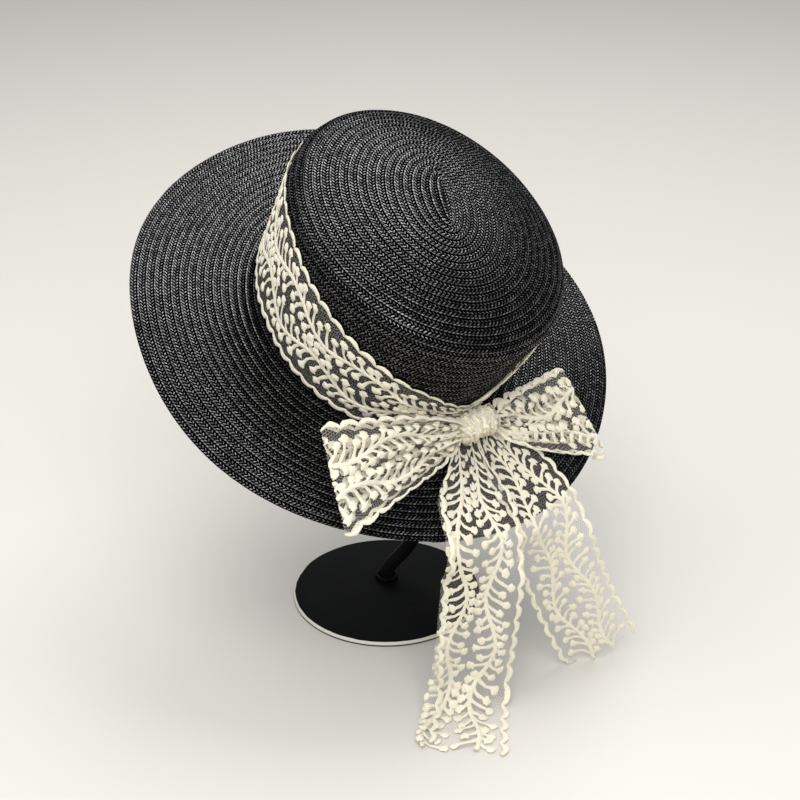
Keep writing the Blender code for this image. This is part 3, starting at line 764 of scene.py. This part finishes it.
class Ribbon:
    """A strip of lace in space: rows of points along it, each from its first edge to its second."""

    def __init__(self, rows, length=None, width=LACE_WIDTH, closed=False, cut=0.0, folded=False):
        self.rows = rows
        self.cut = cut
        middle = [row[len(row) // 2] for row in rows]
        self.length = length or sum((b - a).length for a, b in zip(middle, middle[1:]))
        self.width = width
        self.closed = closed
        self.folded = folded
        self.phase = (SCALLOP - self.length) / 2 if folded else 0.0
        self.faces = [[self.slope(i, k) for k in range(len(rows[0]))] for i in range(len(rows))]

    def slope(self, i, k):
        """The lace's face at one of its points."""
        last = len(self.rows) - 1
        wide = len(self.rows[0]) - 1
        before, after = max(i - 1, 0), min(i + 1, last)
        if self.closed and i in (0, last):
            before, after = last - 1, 1
        along = self.rows[after][k] - self.rows[before][k]
        across = self.rows[i][min(k + 1, wide)] - self.rows[i][max(k - 1, 0)]
        return along.cross(across).normalized()

    def end(self, y):
        """Where the lace is cut off at y: slanted, and a little ragged if it is cut at all."""
        if not self.cut:
            return self.length
        slant = abs(self.cut) * (0.5 - math.copysign(1.0, self.cut) * y / self.width)
        ragged = 1 + math.sin(CUT_WAVES[0] * y) * math.cos(CUT_WAVES[1] * y)
        return self.length - slant - CUT_RAGGED * ragged

    def slim(self, s):
        """The share of its width that an edge cord keeps: it is pressed thin at a fold."""
        near = max(1 - abs(s - self.length / 2) / FOLD_PRESS, 0.0) if self.folded else 0.0
        return 1 - FOLD_THIN * ease(near * 1.6)

    def spot(self, s, y, lift=0.0):
        """The point s along the lace and y from its middle line, lifted off its face."""
        a = s / self.length * (len(self.rows) - 1)
        if self.closed:
            a %= len(self.rows) - 1
        a = min(max(a, 0.0), len(self.rows) - 1.0001)
        b = min(max((y / self.width + 0.5) * (len(self.rows[0]) - 1), 0.0), len(self.rows[0]) - 1.0001)
        i, k = int(a), int(b)
        point = blend(self.rows, i, k, a - i, b - k)
        if lift:
            point += blend(self.faces, i, k, a - i, b - k) * lift
        return point


def blend(rows, i, k, a, b):
    """A place between four neighbours of a grid."""
    one, two = rows[i], rows[i + 1]
    return one[k].lerp(one[k + 1], b).lerp(two[k].lerp(two[k + 1], b), a)


def lobe(s):
    """1 in the middle of a scallop and 0 between two, at s along the lace."""
    return abs(math.cos(math.pi * s / SCALLOP))


def scallop(s):
    """How far the scalloped edge is drawn in at s along the lace."""
    return SCALLOP_DEPTH * (1 - lobe(s))


def lace_net(name, ribbon, material, replaces, look):
    """The net, out to the middle of its edge cords."""
    along = round(ribbon.length / LACE_STEP)

    def flat(i, k):
        s = ribbon.length * i / along
        half = ribbon.width / 2 - look.cord / 2 - scallop(s + ribbon.phase)
        y = half * (2 * k / ACROSS - 1)
        return s * ribbon.end(y) / ribbon.length, y

    bm = bmesh.new()
    layer = bm.loops.layers.uv.new("flat")
    draw_grid(bm, along, ACROSS, lambda i, k: ribbon.spot(*flat(i, k)), layer, flat)
    return add_piece(name, bm, material, replaces)


def sew_stitch(bm, layer, ribbon, path, widths, luck, plump, ragged):
    """A padded stitch along a path on the flat lace, with ragged edges. Widths are half widths."""
    uneven = [[1 + luck.uniform(-ragged, ragged) for edge in (0, 1)] for width in widths]
    reach = [0.0]
    for one, two in zip(path, path[1:]):
        reach.append(reach[-1] + math.dist(one, two))

    def spot(i, k):
        before, after = path[max(i - 1, 0)], path[min(i + 1, len(path) - 1)]
        run = math.dist(before, after)
        turn = 2 * math.pi * k / STITCH_SIDES
        side = widths[i] * math.cos(turn) * uneven[i][math.cos(turn) > 0] / run
        s = path[i][0] - (after[1] - before[1]) * side
        y = path[i][1] + (after[0] - before[0]) * side
        return ribbon.spot(s, y, widths[i] * plump * math.sin(turn))

    draw_grid(bm, len(path) - 1, STITCH_SIDES, spot, layer, lambda i, k: (reach[i], k / STITCH_SIDES))


def stem_place(look, s, side, wavelength):
    """Across the lace, where a spray's stem runs."""
    turn = 2 * math.pi * s / wavelength + side * math.pi / 2
    return side * look.sprays + look.wave * math.sin(turn)


def twig_stitch(look, s, side, hand, grow, short, luck, wavelength):
    """A curved twig with its dot: it leaves its stem along it and curls out to one hand."""
    y = stem_place(look, s, side, wavelength)
    outer = LACE_WIDTH / 2 - look.cord - SCALLOP_DEPTH - look.dot * 0.7
    inner = look.dot * 0.52
    end = side * (outer if hand == side else inner)
    reach = (end - y) * (TWIG_SHORT if short else 1.0) * (1 + 0.10 * luck)
    reach = math.copysign(min(max(abs(reach), look.dot * 0.9), TWIG_LONGEST), hand)
    along = grow * (TWIG_RUN + 0.25 * abs(reach) + 0.0012 * luck)
    path = [Vector((s + along * (1.45 * t - 0.45 * t * t), y + reach * t * (0.35 + 0.65 * t)))
            for t in TWIG_AT]
    widths = [look.twig / 2] * len(path)
    tip = Vector((s + along, y + reach))
    ahead = (tip - path[-1]).normalized() * (look.dot / 2)
    for turn in DOT_AT:
        path.append(tip + ahead * turn)
        round_part = math.sqrt(1 - turn * turn) * look.dot / 2
        widths.append(max(round_part, look.twig / 2) if turn < 0 else round_part)
    return path, widths


def embroider(name, ribbon, material, look, grow, seed):
    """Edge cords, two wavy stems and their twigs, all in stitches on one ribbon."""
    bm = bmesh.new()
    layer = bm.loops.layers.uv.new("stitch")
    cord_steps = round(ribbon.length / SCALLOP * CORD_STEPS)
    places = [ribbon.length * i / cord_steps for i in range(cord_steps + 1)]
    squeeze = ribbon.width / LACE_WIDTH
    fine = squeeze ** 0.8
    wavelength = look.wavelength
    pitch = look.pitch
    if ribbon.closed:
        wavelength = ribbon.length / max(round(ribbon.length / wavelength), 1)
        pitch = ribbon.length / (2 * round(ribbon.length / pitch / 2))
    luck = random.Random(seed)
    for side in (-1, 1):
        half = ribbon.width / 2 - look.cord / 2
        trim = ribbon.end(side * half) / ribbon.length
        path = [(s * trim, side * (half - scallop(s + ribbon.phase))) for s in places]
        widths = [look.cord / 2 * fine * ribbon.slim(s) * (0.55 + 0.55 * lobe(s + ribbon.phase))
                  for s in places]
        sew_stitch(bm, layer, ribbon, path, widths, luck, **CORD_STITCH)
    for side in (-1, 1):
        stem_steps = round(ribbon.length / STEM_STEP)
        trim = ribbon.end(side * look.sprays) / ribbon.length
        along = [ribbon.length * i / stem_steps * trim for i in range(stem_steps + 1)]
        path = [(s, stem_place(look, s, side, wavelength) * squeeze) for s in along]
        sew_stitch(bm, layer, ribbon, path, [look.stem / 2 * fine] * len(path), luck, **STEM_STITCH)
        for n in range(round(ribbon.length / pitch)):
            for hand in (-1, 1):
                s = (n + (0.5 if hand > 0 else 0.0)) * pitch
                chance = luck.uniform(-1, 1)
                path, widths = twig_stitch(look, s, side, hand, grow, n % 2, chance, wavelength)
                first = min(a for a, b in path)
                last = max(a for a, b in path)
                if ribbon.closed or -TWIG_TUCK < first and last < ribbon.end(path[-1][1]):
                    path = [(a, b * squeeze) for a, b in path]
                    widths = [width * fine for width in widths]
                    sew_stitch(bm, layer, ribbon, path, widths, luck, **TWIG_STITCH)
    return add_piece(name, bm, material)


def band_edges(azimuth):
    """Heights of the band's two edges, and how far it is spread out there from 0 at the bow."""
    turn = (azimuth - BOW_AZIMUTH + math.pi) % (2 * math.pi) - math.pi
    reach = BAND_GATHER_RIGHT if turn > 0 else BAND_GATHER_LEFT
    part = min(abs(turn) / reach, 1.0)
    spread = 1.5 * part - 0.5 * part ** 3
    low_knot = BOW_HEIGHT - GATHER_WIDTH / 2
    high_knot = BOW_HEIGHT + GATHER_WIDTH / 2
    sag = BAND_DIP * 4 * spread * (1 - spread)
    low = max(low_knot + (BAND_REST - low_knot) * spread - sag, BAND_LOWEST)
    high = high_knot + (BAND_REST + LACE_WIDTH - high_knot) * spread
    high -= BAND_PINCH * (1 - ease(abs(turn) / PINCH_REACH))
    ridden = ease((-turn - RIDE_START) / RIDE_GROW) * ease((turn + math.pi) / RIDE_FADE)
    return low + BAND_RIDE / 3 * ridden, high + BAND_RIDE * ridden, spread


def band_ribbon(look):
    """Round the crown, drawn up into pleats towards the bow."""
    rest = RIDGE + GAP + LACE / 2
    girth = round(2 * math.pi * (CROWN_RADIUS + rest) / SCALLOP) * SCALLOP
    steps = round(girth / LACE_STEP)
    rows = []
    for i in range(steps + 1):
        azimuth = BOW_AZIMUTH + math.pi + 2 * math.pi * i / steps
        low, high, spread = band_edges(azimuth)
        row = []
        for k in range(ACROSS + 1):
            share = k / ACROSS
            pleat = BAND_PLEATS * share + 0.35 * math.sin(5 * azimuth)
            fold = 0.5 - 0.5 * math.cos(2 * math.pi * pleat)
            soft = 0.5 + 0.5 * math.sin(9 * azimuth + 5 * share)
            out = rest + look.pleat * (1 - spread) * fold + BAND_SOFT * soft * spread
            row.append(SEAT @ wall_point(azimuth, low + (high - low) * share, out))
        rows.append(row)
    return Ribbon(rows, girth, closed=True)


# Bow: u along it to its right seen from outside, v up the wall, w out from the wall

def bow_frame():
    """Where the bow is tied on the crown's wall, and its three directions."""
    angle = oval_angle(BOW_AZIMUTH, CROWN_RADIUS)
    out = Vector(((CROWN_RADIUS + CROWN_OVAL) * math.cos(angle),
                  (CROWN_RADIUS - CROWN_OVAL) * math.sin(angle), 0.0)).normalized()
    side = Vector((-out.y, out.x, 0.0))
    off = RIDGE + 2 * GAP + LACE
    seat = wall_point(BOW_AZIMUTH, BOW_HEIGHT, off)
    up = wall_point(BOW_AZIMUTH, BOW_HEIGHT + KNOT_HEIGHT, off) - seat
    up = (up - side * up.dot(side)).normalized()
    return seat, side, up, side.cross(up)


BOW = bow_frame()


def bow_point(u, v, w):
    """A place in the bow's three directions, from the middle of the knot's solid."""
    seat, side, up, out = BOW
    return seat + side * u + up * v + out * (w + KNOT_DEPTH / 2)


def on_brim(x, y):
    """The middle of a lace's thickness where it lies on the brim."""
    return Vector((x, y, brim_top(x, y) + RIDGE + GAP + LACE / 2 + TAIL_LIFT))


def brim_edge(azimuth, beyond):
    """A place for lace at the brim's edge, or a little beyond it."""
    radius = CROWN_RADIUS + BRIM_WIDTH + beyond
    return on_brim(*oval(oval_angle(azimuth, radius), radius))


def above_brim(point, lift):
    """A point of a lace, raised onto the brim where it would dip into it."""
    rim = brim_edge(math.atan2(point.y, point.x), TAIL_DROP_OUT / 2)
    if math.hypot(point.x, point.y) > math.hypot(rim.x, rim.y):
        return point
    rest = on_brim(point.x, point.y).z + lift
    if rest - UNDER_REACH < point.z < rest:
        return Vector((point.x, point.y, rest))
    return point


def loop_room(out):
    """Half the room inside a loop at a share of its reach: it closes round the fold."""
    room = LOOP_FOLD + (LOOP_PUFF - LOOP_FOLD) * math.sin(math.pi * min(out / LOOP_BEND, 1.0))
    if out > LOOP_BEND:
        room *= math.sqrt(max(0.0, (1 - out) / (1 - LOOP_BEND)))
    return room


def loop_ribbon(name, look):
    """Out along the front of a loop, round its fold and back behind."""
    side, upper, lower, sag = LOOPS[name]
    start = Vector((side * (KNOT_LENGTH / 2 + GAP + LACE / 2 - LOOP_TUCK), -LOOP_SINK, 0.0))
    root = Vector((0.0, GATHER_WIDTH * LOOP_ROOT / 2, 0.0))
    far_top = start + Vector((side * upper[0], upper[1], upper[2])) * LOOP_REACH
    far_low = start + Vector((side * lower[0], lower[1], lower[2])) * LOOP_REACH
    steps = 2 * round(LOOP_REACH / LACE_STEP)
    rows = []
    for i in range(steps + 1):
        share = i / steps
        out = 1 - abs(2 * share - 1)
        leaf = 1 if share < 0.5 else -1
        middle = start.lerp((far_top + far_low) / 2, out)
        half = root.lerp((far_top - far_low) / 2, out ** LOOP_BELLY)
        if leaf > 0:
            half *= 1 - LOOP_NARROW * math.sin(math.pi * out)
        slack = math.sin(math.pi * out ** 0.7)
        dip = Vector((0.0, sag[0] * (FRONT_SAG if leaf > 0 else 1.0), -sag[1])) * slack
        middle -= dip / 2
        half += dip / 2
        across = -half.normalized()
        face = across.cross(Vector((side, 0.0, 0.0))).normalized() * -side
        room = loop_room(out)
        pleat = LOOP_PLEAT * look.pleat * (1 - out) ** PLEAT_FADE * min(0.4 + out / 0.12, 1.0)
        row = []
        for k in range(ACROSS + 1):
            place = k / ACROSS
            bulge = 1 - LOOP_BULGE * abs(2 * place - 1) ** 3
            fold = math.cos(2 * math.pi * (LOOP_PLEATS * place + 0.3 * math.sin(3 * out)))
            flat = middle + half * (1 - 2 * place)
            level = bow_point(*flat)
            rise = room * bulge * leaf + pleat * fold
            point = bow_point(*(flat + face * rise))
            row.append(SEAT @ above_brim(point, room * bulge + pleat * fold + (point - level).z))
        rows.append(row)
    return Ribbon(rows, folded=True)


def knot_share(along):
    """Thickness of the knot at a share of its length."""
    for (a, low), (b, high) in zip(KNOT_SECTIONS, KNOT_SECTIONS[1:]):
        if along <= b:
            return low + (high - low) * ease((along - a) / (b - a))
    return KNOT_SECTIONS[-1][1]


def knot_point(angle, along, grow):
    """A point of the knot's surface, pushed out by grow."""
    c, s = math.cos(angle), math.sin(angle)
    share = knot_share(along)
    v = math.copysign(abs(s) ** KNOT_ROUND, s) * (share * KNOT_HEIGHT / 2 + grow)
    w = math.copysign(abs(c) ** KNOT_ROUND, c) * (share * KNOT_DEPTH / 2 + grow)
    return SEAT @ bow_point(along * KNOT_LENGTH, v - KNOT_SINK, w)


def knot_fold(angle, share, look):
    """How deep the knot's slanting creases and lumps lie below its full shape."""
    crease = math.cos(2 * math.pi * (KNOT_PLEATS * share + 0.55 * math.sin(angle + 1.0)))
    lumps = math.sin(9 * angle + 17 * share) * math.sin(7 * angle - 23 * share)
    return look.pleat * (KNOT_CREASE * (crease - 1) + KNOT_LUMPS * (lumps - 1))


def knot_ribbon(look):
    """Lace drawn together and wound once round the middle of the bow."""
    rows = []
    for i in range(KNOT_STEPS + 1):
        angle = -2 * math.pi * i / KNOT_STEPS
        shares = [k / ACROSS for k in range(ACROSS + 1)]
        rows.append([knot_point(angle, share - 0.5, knot_fold(angle, share, look)) for share in shares])
    return Ribbon(rows, KNOT_SCALLOPS * SCALLOP, width=KNOT_LACE, closed=True)


def make_core(material, look):
    """The bunched lace inside the knot."""
    bm = bmesh.new()
    layer = bm.loops.layers.uv.new("stitch")

    def spot(i, k):
        along = i / CORE_STEPS - 0.5
        angle = 2 * math.pi * k / CORE_SIDES
        closing = math.sqrt(max(0.0, 1 - abs(2 * along) ** 6))
        ripple = knot_fold(angle, along + 0.5, look)
        full = knot_point(angle, along * CORE_SHARE, ripple - GAP)
        middle = SEAT @ bow_point(along * CORE_SHARE * KNOT_LENGTH, -KNOT_SINK, 0.0)
        return middle.lerp(full, closing)

    def mark(i, k):
        return KNOT_LENGTH * i / CORE_STEPS, k / CORE_SIDES

    draw_grid(bm, CORE_STEPS, CORE_SIDES, spot, layer, mark)
    add_piece("bow_knot_core", bm, material)


def smooth_route(points, count):
    """Evenly spaced places on one smooth curve through the points, and its length."""
    ends = [2 * points[0] - points[1]] + points + [2 * points[-1] - points[-2]]
    fine = []
    for i in range(1, len(ends) - 2):
        a, b, c, d = ends[i - 1:i + 3]
        for k in range(ROUTE_STEPS):
            t = k / ROUTE_STEPS
            fine.append(0.5 * (2 * b + (c - a) * t + (2 * a - 5 * b + 4 * c - d) * t * t
                               + (3 * b - a - 3 * c + d) * t ** 3))
    fine.append(points[-1].copy())
    reach = [0.0]
    for one, two in zip(fine, fine[1:]):
        reach.append(reach[-1] + (two - one).length)
    route = []
    seg = 0
    for i in range(count):
        want = reach[-1] * i / (count - 1)
        while seg < len(fine) - 2 and reach[seg + 1] < want:
            seg += 1
        part = (want - reach[seg]) / max(reach[seg + 1] - reach[seg], 1e-9)
        route.append(fine[seg].lerp(fine[seg + 1], min(max(part, 0.0), 1.0)))
    return route, reach[-1]


def knot_under(deep):
    """How far the knot's solid reaches down at a share of its depth."""
    return KNOT_HEIGHT / 2 * (1 - abs(2 * deep) ** (2 / KNOT_ROUND)) ** (KNOT_ROUND / 2)


def tail_points(tail):
    """A tail's middle line: knot, brim, edge, hanging stretch, floor."""
    along, deep = tail["start"]
    knot = bow_point(along * KNOT_LENGTH, -(knot_under(deep) + GAP + LACE / 2), deep * KNOT_DEPTH)
    edge = brim_edge(tail["edge"], 0.0)
    points = [SEAT @ knot]
    for share in LYING_AT:
        flat = knot.lerp(edge, share)
        points.append(SEAT @ (on_brim(flat.x, flat.y) + Vector((0.0, 0.0, tail["ride"]))))
    hang = SEAT @ brim_edge(tail["edge"], TAIL_DROP_OUT + tail["ride"])
    points.append(hang - Vector((0.0, 0.0, STRAW)))
    drop = Vector((*tail["drift"], FLOOR_CLEAR + LACE / 2 - hang.z))
    for share in HANGING_AT:
        drift = share ** 1.5
        points.append(hang + Vector((drop.x * drift, drop.y * drift, drop.z * share)))
    foot = hang + drop
    if tail["on_floor"]:
        ahead = FLOOR_AHEAD * tail["on_floor"]
        points += [foot + ahead * share for share in FLOOR_AT]
    else:
        points.append(foot)
    return points, hang


def tail_side(tail, ahead, fallen, lying):
    """The direction across a tail: along the brim while it lies, then level as it hangs."""
    facing = Vector((math.cos(tail["facing"]), math.sin(tail["facing"]), 0.0))
    on_the_brim = lying.cross(ahead).normalized()
    hanging = Vector((0.0, 0.0, 1.0)).cross(facing)
    side = on_the_brim.lerp(hanging, ease(fallen / TAIL_TURN))
    side -= ahead * side.dot(ahead)
    return side.normalized()


def tail_section(tail, share, grown):
    """Half a tail's width at a share of its length, and the place and lift of each point across it,
    those of its folded strip first."""
    root = GATHER_WIDTH * TAIL_ROOT / 2
    half = root + (LACE_WIDTH * tail["across"] / 2 - root) * grown
    flare = tail["flare"] * ease((share - FLARE_START) / (1 - FLARE_START))
    opened = FOLD_NARROW + FOLD_GAIN * ease((share - FOLD_OPENS) / FOLD_OPENING)
    strip = tail["fold"] * max(grown, FOLD_ROOT) * opened
    raised = TAIL_FOLD_LIFT * max(grown, FOLD_LIFT_ROOT)
    section = []
    for k in range(ACROSS + 1):
        y = (2 * half + strip) * k / ACROSS
        if y < strip:
            lift = raised * math.sqrt(max(0.0, 1 - (y / strip) ** 4))
            section.append((-half - flare + (strip - y), lift))
        else:
            section.append((-half + y - strip - flare * (1 - (y - strip) / (2 * half)), 0.0))
    return half, section


def tail_ribbon(name, look):
    """From the knot over the brim and down, with its folded strip where it has one."""
    tail = TAILS[name]
    points, hang = tail_points(tail)
    length = smooth_route(points, 2)[1]
    steps = round(length / LACE_STEP)
    route = smooth_route(points, steps + 1)[0]
    lying = (SEAT.to_3x3() @ Vector((0.0, 0.0, 1.0))).normalized()
    back = SEAT.inverted()
    rows = []
    for i, here in enumerate(route):
        ahead = (route[min(i + 2, steps)] - route[max(i - 2, 0)]).normalized()
        fallen = hang.z - here.z
        side = tail_side(tail, ahead, fallen, lying)
        face = ahead.cross(side)
        share = i / steps
        grown = ease(share * length / TAIL_SPREAD)
        ripple = TAIL_RIPPLE * ease(fallen / RIPPLE_FALL)
        pleat = TAIL_PLEAT * look.pleat * (1 - grown)
        half, section = tail_section(tail, share, grown)
        row = []
        for offset, lift in section:
            turn = offset / half
            fold = pleat * math.cos(2 * math.pi * TAIL_PLEATS * turn)
            wave = ripple * math.sin(5.2 * turn + 7.0 * share + 1.0)
            point = here + side * offset + face * (lift + fold + wave)
            point = SEAT @ above_brim(back @ point, lift + tail["ride"] * grown)
            point.z = max(point.z, FLOOR_CLEAR + LACE / 2 + lift)
            row.append(point)
        rows.append(row)
    return Ribbon(rows, length, cut=tail["cut"])


# Stand

def draw_tube(bm, route, radii, sides):
    """A round tube through a route, a radius for each place."""
    last = len(route) - 1
    aheads = [(route[min(i + 1, last)] - route[max(i - 1, 0)]).normalized() for i in range(last + 1)]

    def spot(i, k):
        side = aheads[i].cross(Vector((0.0, 1.0, 0.0))).normalized()
        other = side.cross(aheads[i])
        turn = 2 * math.pi * k / sides
        return route[i] + (side * math.cos(turn) + other * math.sin(turn)) * radii[i]

    draw_grid(bm, last, sides, spot)


def turn_profile(profile, centre, steps):
    """A closed round body from its half section, (radius, height) from the bottom of its axis."""
    bm = bmesh.new()
    verts = [bmesh.ops.create_vert(bm, co=centre + Vector((r, 0.0, z)))["vert"][0] for r, z in profile]
    edges = [bm.edges.new(pair) for pair in zip(verts, verts[1:])]
    bmesh.ops.spin(bm, geom=verts + edges, cent=centre, axis=(0.0, 0.0, 1.0), angle=2 * math.pi,
                   steps=steps, use_merge=True, use_duplicate=False)
    return bm


def rounded(radius, low, high, edge):
    """Half section of a disc with a rounded top edge."""
    points = [(0.0, low), (radius - edge * 0.4, low), (radius, low + edge * 0.4)]
    for i in range(5):
        turn = math.pi / 2 * i / 4
        points.append((radius - edge + edge * math.cos(turn), high - edge + edge * math.sin(turn)))
    return points + [(0.0, high)]


def stem_route():
    """The rod's middle line, from the disc up to the cap under the crown's top."""
    corner = SHOULDER - STRAW - GAP
    edge_r = CROWN_RADIUS + CROWN_FLARE - SHOULDER + corner * math.sin(DOME_SLOPE)
    edge_z = CROWN_HEIGHT - SHOULDER + corner * math.cos(DOME_SLOPE)
    dome = edge_r / math.sin(DOME_SLOPE)
    turn = DOME_SLOPE * PAD_SHARE
    z = edge_z + dome * (math.cos(turn) - math.cos(DOME_SLOPE))
    axis = (SEAT.to_3x3() @ Vector((-CROWN_TIP[0], -CROWN_TIP[1], 1.0))).normalized()
    pad = SEAT @ crown_set(0.0, 0.0, z - PAD_THICK - GAP)
    foot = STEM_FOOT + Vector((0.0, 0.0, BASE_THICK + GAP))
    points = [foot]
    for height, along, back in STEM_BENDS:
        points.append(foot.lerp(pad, height) + Vector((along, back, 0.0)) * STEM_SWING)
    points += [pad - axis * STEM_TOP_RUN, pad]
    return smooth_route(points, ROD_STEPS + 1)[0]


# Operators

class MakerOperator:
    """What the makers share."""

    bl_options = {"REGISTER", "UNDO"}


def shared(name, maker, look):
    """A finish that is made the first time that it is asked for, and then shared."""
    return bpy.data.materials.get(name) or maker(look)


def add_lace(context, name, ribbon, seed, grow=1):
    """A ribbon's net and its embroidery."""
    look = context.scene.hat_lace
    net = lace_net(name + "_net", ribbon, shared("lace_net", net_finish, look), (name,), look)
    thread = shared("lace_thread", thread_finish, look)
    sewn = embroider(name + "_embroidery", ribbon, thread, look, grow, seed)
    drawn_in = sum(scallop(SCALLOP * i / 20) for i in range(20)) / 20
    ends = [ribbon.end(ribbon.width * (i / 40 - 0.5)) for i in range(41)]
    cut = (ribbon.width - 2 * drawn_in) * sum(ends) / len(ends)


class HAT_OT_crown(MakerOperator, Operator):
    """Sew the crown's rows of braid"""

    bl_idname = "hat.crown"
    bl_label = "Crown"

    def execute(self, context):
        look = context.scene.hat_straw
        straw = shared("plaited_straw", straw_finish, look)
        sew_rows("crown", *crown_surface(), CROWN_TURN, -1, look, straw)
        return {"FINISHED"}


class HAT_OT_brim(MakerOperator, Operator):
    """Sew the brim's rows of braid"""

    bl_idname = "hat.brim"
    bl_label = "Brim"

    def execute(self, context):
        look = context.scene.hat_straw
        straw = shared("plaited_straw", straw_finish, look)
        sew_rows("brim", *brim_surface(), BRIM_TURN, 1, look, straw)
        return {"FINISHED"}


class HAT_OT_band(MakerOperator, Operator):
    """Lay the lace band round the crown"""

    bl_idname = "hat.band"
    bl_label = "Band"

    def execute(self, context):
        ribbon = band_ribbon(context.scene.hat_lace)
        add_lace(context, "band", ribbon, grow=-1, seed=3)
        return {"FINISHED"}


class HAT_OT_knot(MakerOperator, Operator):
    """Wind the bow's knot"""

    bl_idname = "hat.knot"
    bl_label = "Knot"

    def execute(self, context):
        look = context.scene.hat_lace
        ribbon = knot_ribbon(look)
        add_lace(context, "bow_knot", ribbon, seed=5)
        make_core(bunch_finish(look), look)
        return {"FINISHED"}


class HAT_OT_loops(MakerOperator, Operator):
    """Fold the bow's two loops"""

    bl_idname = "hat.loops"
    bl_label = "Loops"

    def execute(self, context):
        for seed, name in enumerate(LOOPS, start=7):
            ribbon = loop_ribbon(name, context.scene.hat_lace)
            add_lace(context, name, ribbon, seed=seed)
        return {"FINISHED"}


class HAT_OT_tails(MakerOperator, Operator):
    """Hang the bow's two tails"""

    bl_idname = "hat.tails"
    bl_label = "Tails"

    def execute(self, context):
        for seed, (name, tail) in enumerate(TAILS.items(), start=11):
            ribbon = tail_ribbon(name, context.scene.hat_lace)
            add_lace(context, name, ribbon, grow=tail["grow"], seed=seed)
        return {"FINISHED"}


class HAT_OT_stand(MakerOperator, Operator):
    """Turn and paint the stand"""

    bl_idname = "hat.stand"
    bl_label = "Stand"

    def execute(self, context):
        look = context.scene.hat_stand
        plain = paint_finish(look, "black_paint", worn=False)
        rubbed = paint_finish(look, "black_paint_worn", worn=True)
        disc = turn_profile(rounded(BASE_RADIUS, 0.0, BASE_THICK, BASE_EDGE), Vector(), DISC_SIDES)
        add_piece("stand_base_disc", disc, rubbed, ("stand_base",))
        low = BASE_THICK + GAP
        inside = STEM_RADIUS + COLLAR_CLEAR
        section = rounded(COLLAR_RADIUS, low, low + COLLAR_HEIGHT, COLLAR_EDGE)
        section = [(max(r, inside), z) for r, z in section] + [(inside, low)]
        collar = turn_profile(section, STEM_FOOT, COLLAR_SIDES)
        add_piece("stand_collar_ring", collar, plain, ("stand_collar",))
        route = stem_route()
        bm = bmesh.new()
        radii = [0.0] + [STEM_RADIUS] * len(route) + [0.0]
        draw_tube(bm, [route[0]] + route + [route[-1]], radii, ROD_SIDES)
        add_piece("stand_stem_rod", bm, plain, ("stand_stem",))
        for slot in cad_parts["stand_head"].material_slots:
            slot.material = plain
        return {"FINISHED"}


class HAT_OT_stage(MakerOperator, Operator):
    """Set the floor, the light and the camera"""

    bl_idname = "hat.stage"
    bl_label = "Stage"

    def execute(self, context):
        look = context.scene.hat_stage
        lay_floor(floor_finish(look))
        for name, (place, size, power) in LAMPS.items():
            add_light(name, place, size, look.key * power)
        world = bpy.data.worlds.new("room")
        world.use_nodes = True
        background = world.node_tree.nodes["Background"]
        background.inputs["Color"].default_value = ROOM_TINT
        background.inputs["Strength"].default_value = look.sky
        context.scene.world = world
        context.scene.view_settings.view_transform = "Standard"
        context.scene.camera = add_camera()
        return {"FINISHED"}


def lay_floor(material):
    """A wide floor at the height of the stand's underside."""
    bm = bmesh.new()
    bmesh.ops.create_grid(bm, x_segments=1, y_segments=1, size=FLOOR_HALF)
    mesh = bpy.data.meshes.new("floor")
    bm.to_mesh(mesh)
    bm.free()
    mesh.materials.append(material)
    floor = bpy.data.objects.new("floor", mesh)
    bpy.context.scene.collection.objects.link(floor)


def add_camera():
    """The camera, where the outlines of the hat and its stand put it."""
    camera = bpy.data.objects.new("camera", bpy.data.cameras.new("camera"))
    camera.data.sensor_width = CAMERA_SENSOR
    camera.data.lens = CAMERA_LENS
    camera.location = CAMERA_PLACE
    camera.rotation_euler = (CAMERA_TILT, 0.0, 0.0)
    bpy.context.scene.collection.objects.link(camera)
    return camera


def add_light(name, place, size, power):
    """A soft square light that faces the hat."""
    lamp = bpy.data.lights.new(name, "AREA")
    lamp.size = size
    lamp.energy = power
    made = bpy.data.objects.new(name, lamp)
    made.location = place
    made.rotation_euler = (HAT_CENTRE - Vector(place)).to_track_quat("-Z", "Y").to_euler()
    bpy.context.scene.collection.objects.link(made)


class HAT_PT_panel(Panel):
    """Makers in the order in which the hat is built"""

    bl_label = "Straw hat"
    bl_space_type = "VIEW_3D"
    bl_region_type = "UI"
    bl_category = "Hat"

    def draw(self, context):
        for maker in MAKERS:
            self.layout.operator(maker.bl_idname)
        for group in GROUPS:
            settings = getattr(context.scene, group)
            box = self.layout.box()
            for key in settings.bl_rna.properties.keys():
                if key not in {"rna_type", "name"}:
                    box.prop(settings, key)


MAKERS = (HAT_OT_crown, HAT_OT_brim, HAT_OT_band, HAT_OT_knot, HAT_OT_loops, HAT_OT_tails, HAT_OT_stand,
          HAT_OT_stage)
GROUPS = {"hat_straw": StrawLook, "hat_lace": LaceLook, "hat_stand": StandLook, "hat_stage": StageLook}


def register():
    for group in GROUPS.values():
        bpy.utils.register_class(group)
    for key, group in GROUPS.items():
        setattr(bpy.types.Scene, key, PointerProperty(type=group))
    for maker in (*MAKERS, HAT_PT_panel):
        bpy.utils.register_class(maker)


def unregister():
    for maker in (HAT_PT_panel, *reversed(MAKERS)):
        bpy.utils.unregister_class(maker)
    for key, group in GROUPS.items():
        delattr(bpy.types.Scene, key)
        bpy.utils.unregister_class(group)


def main():
    """Builds everything in order."""
    register()
    bpy.ops.hat.crown()
    bpy.ops.hat.brim()
    bpy.ops.hat.band()
    bpy.ops.hat.knot()
    bpy.ops.hat.loops()
    bpy.ops.hat.tails()
    bpy.ops.hat.stand()
    bpy.ops.hat.stage()


if __name__ == "__main__":
    main()
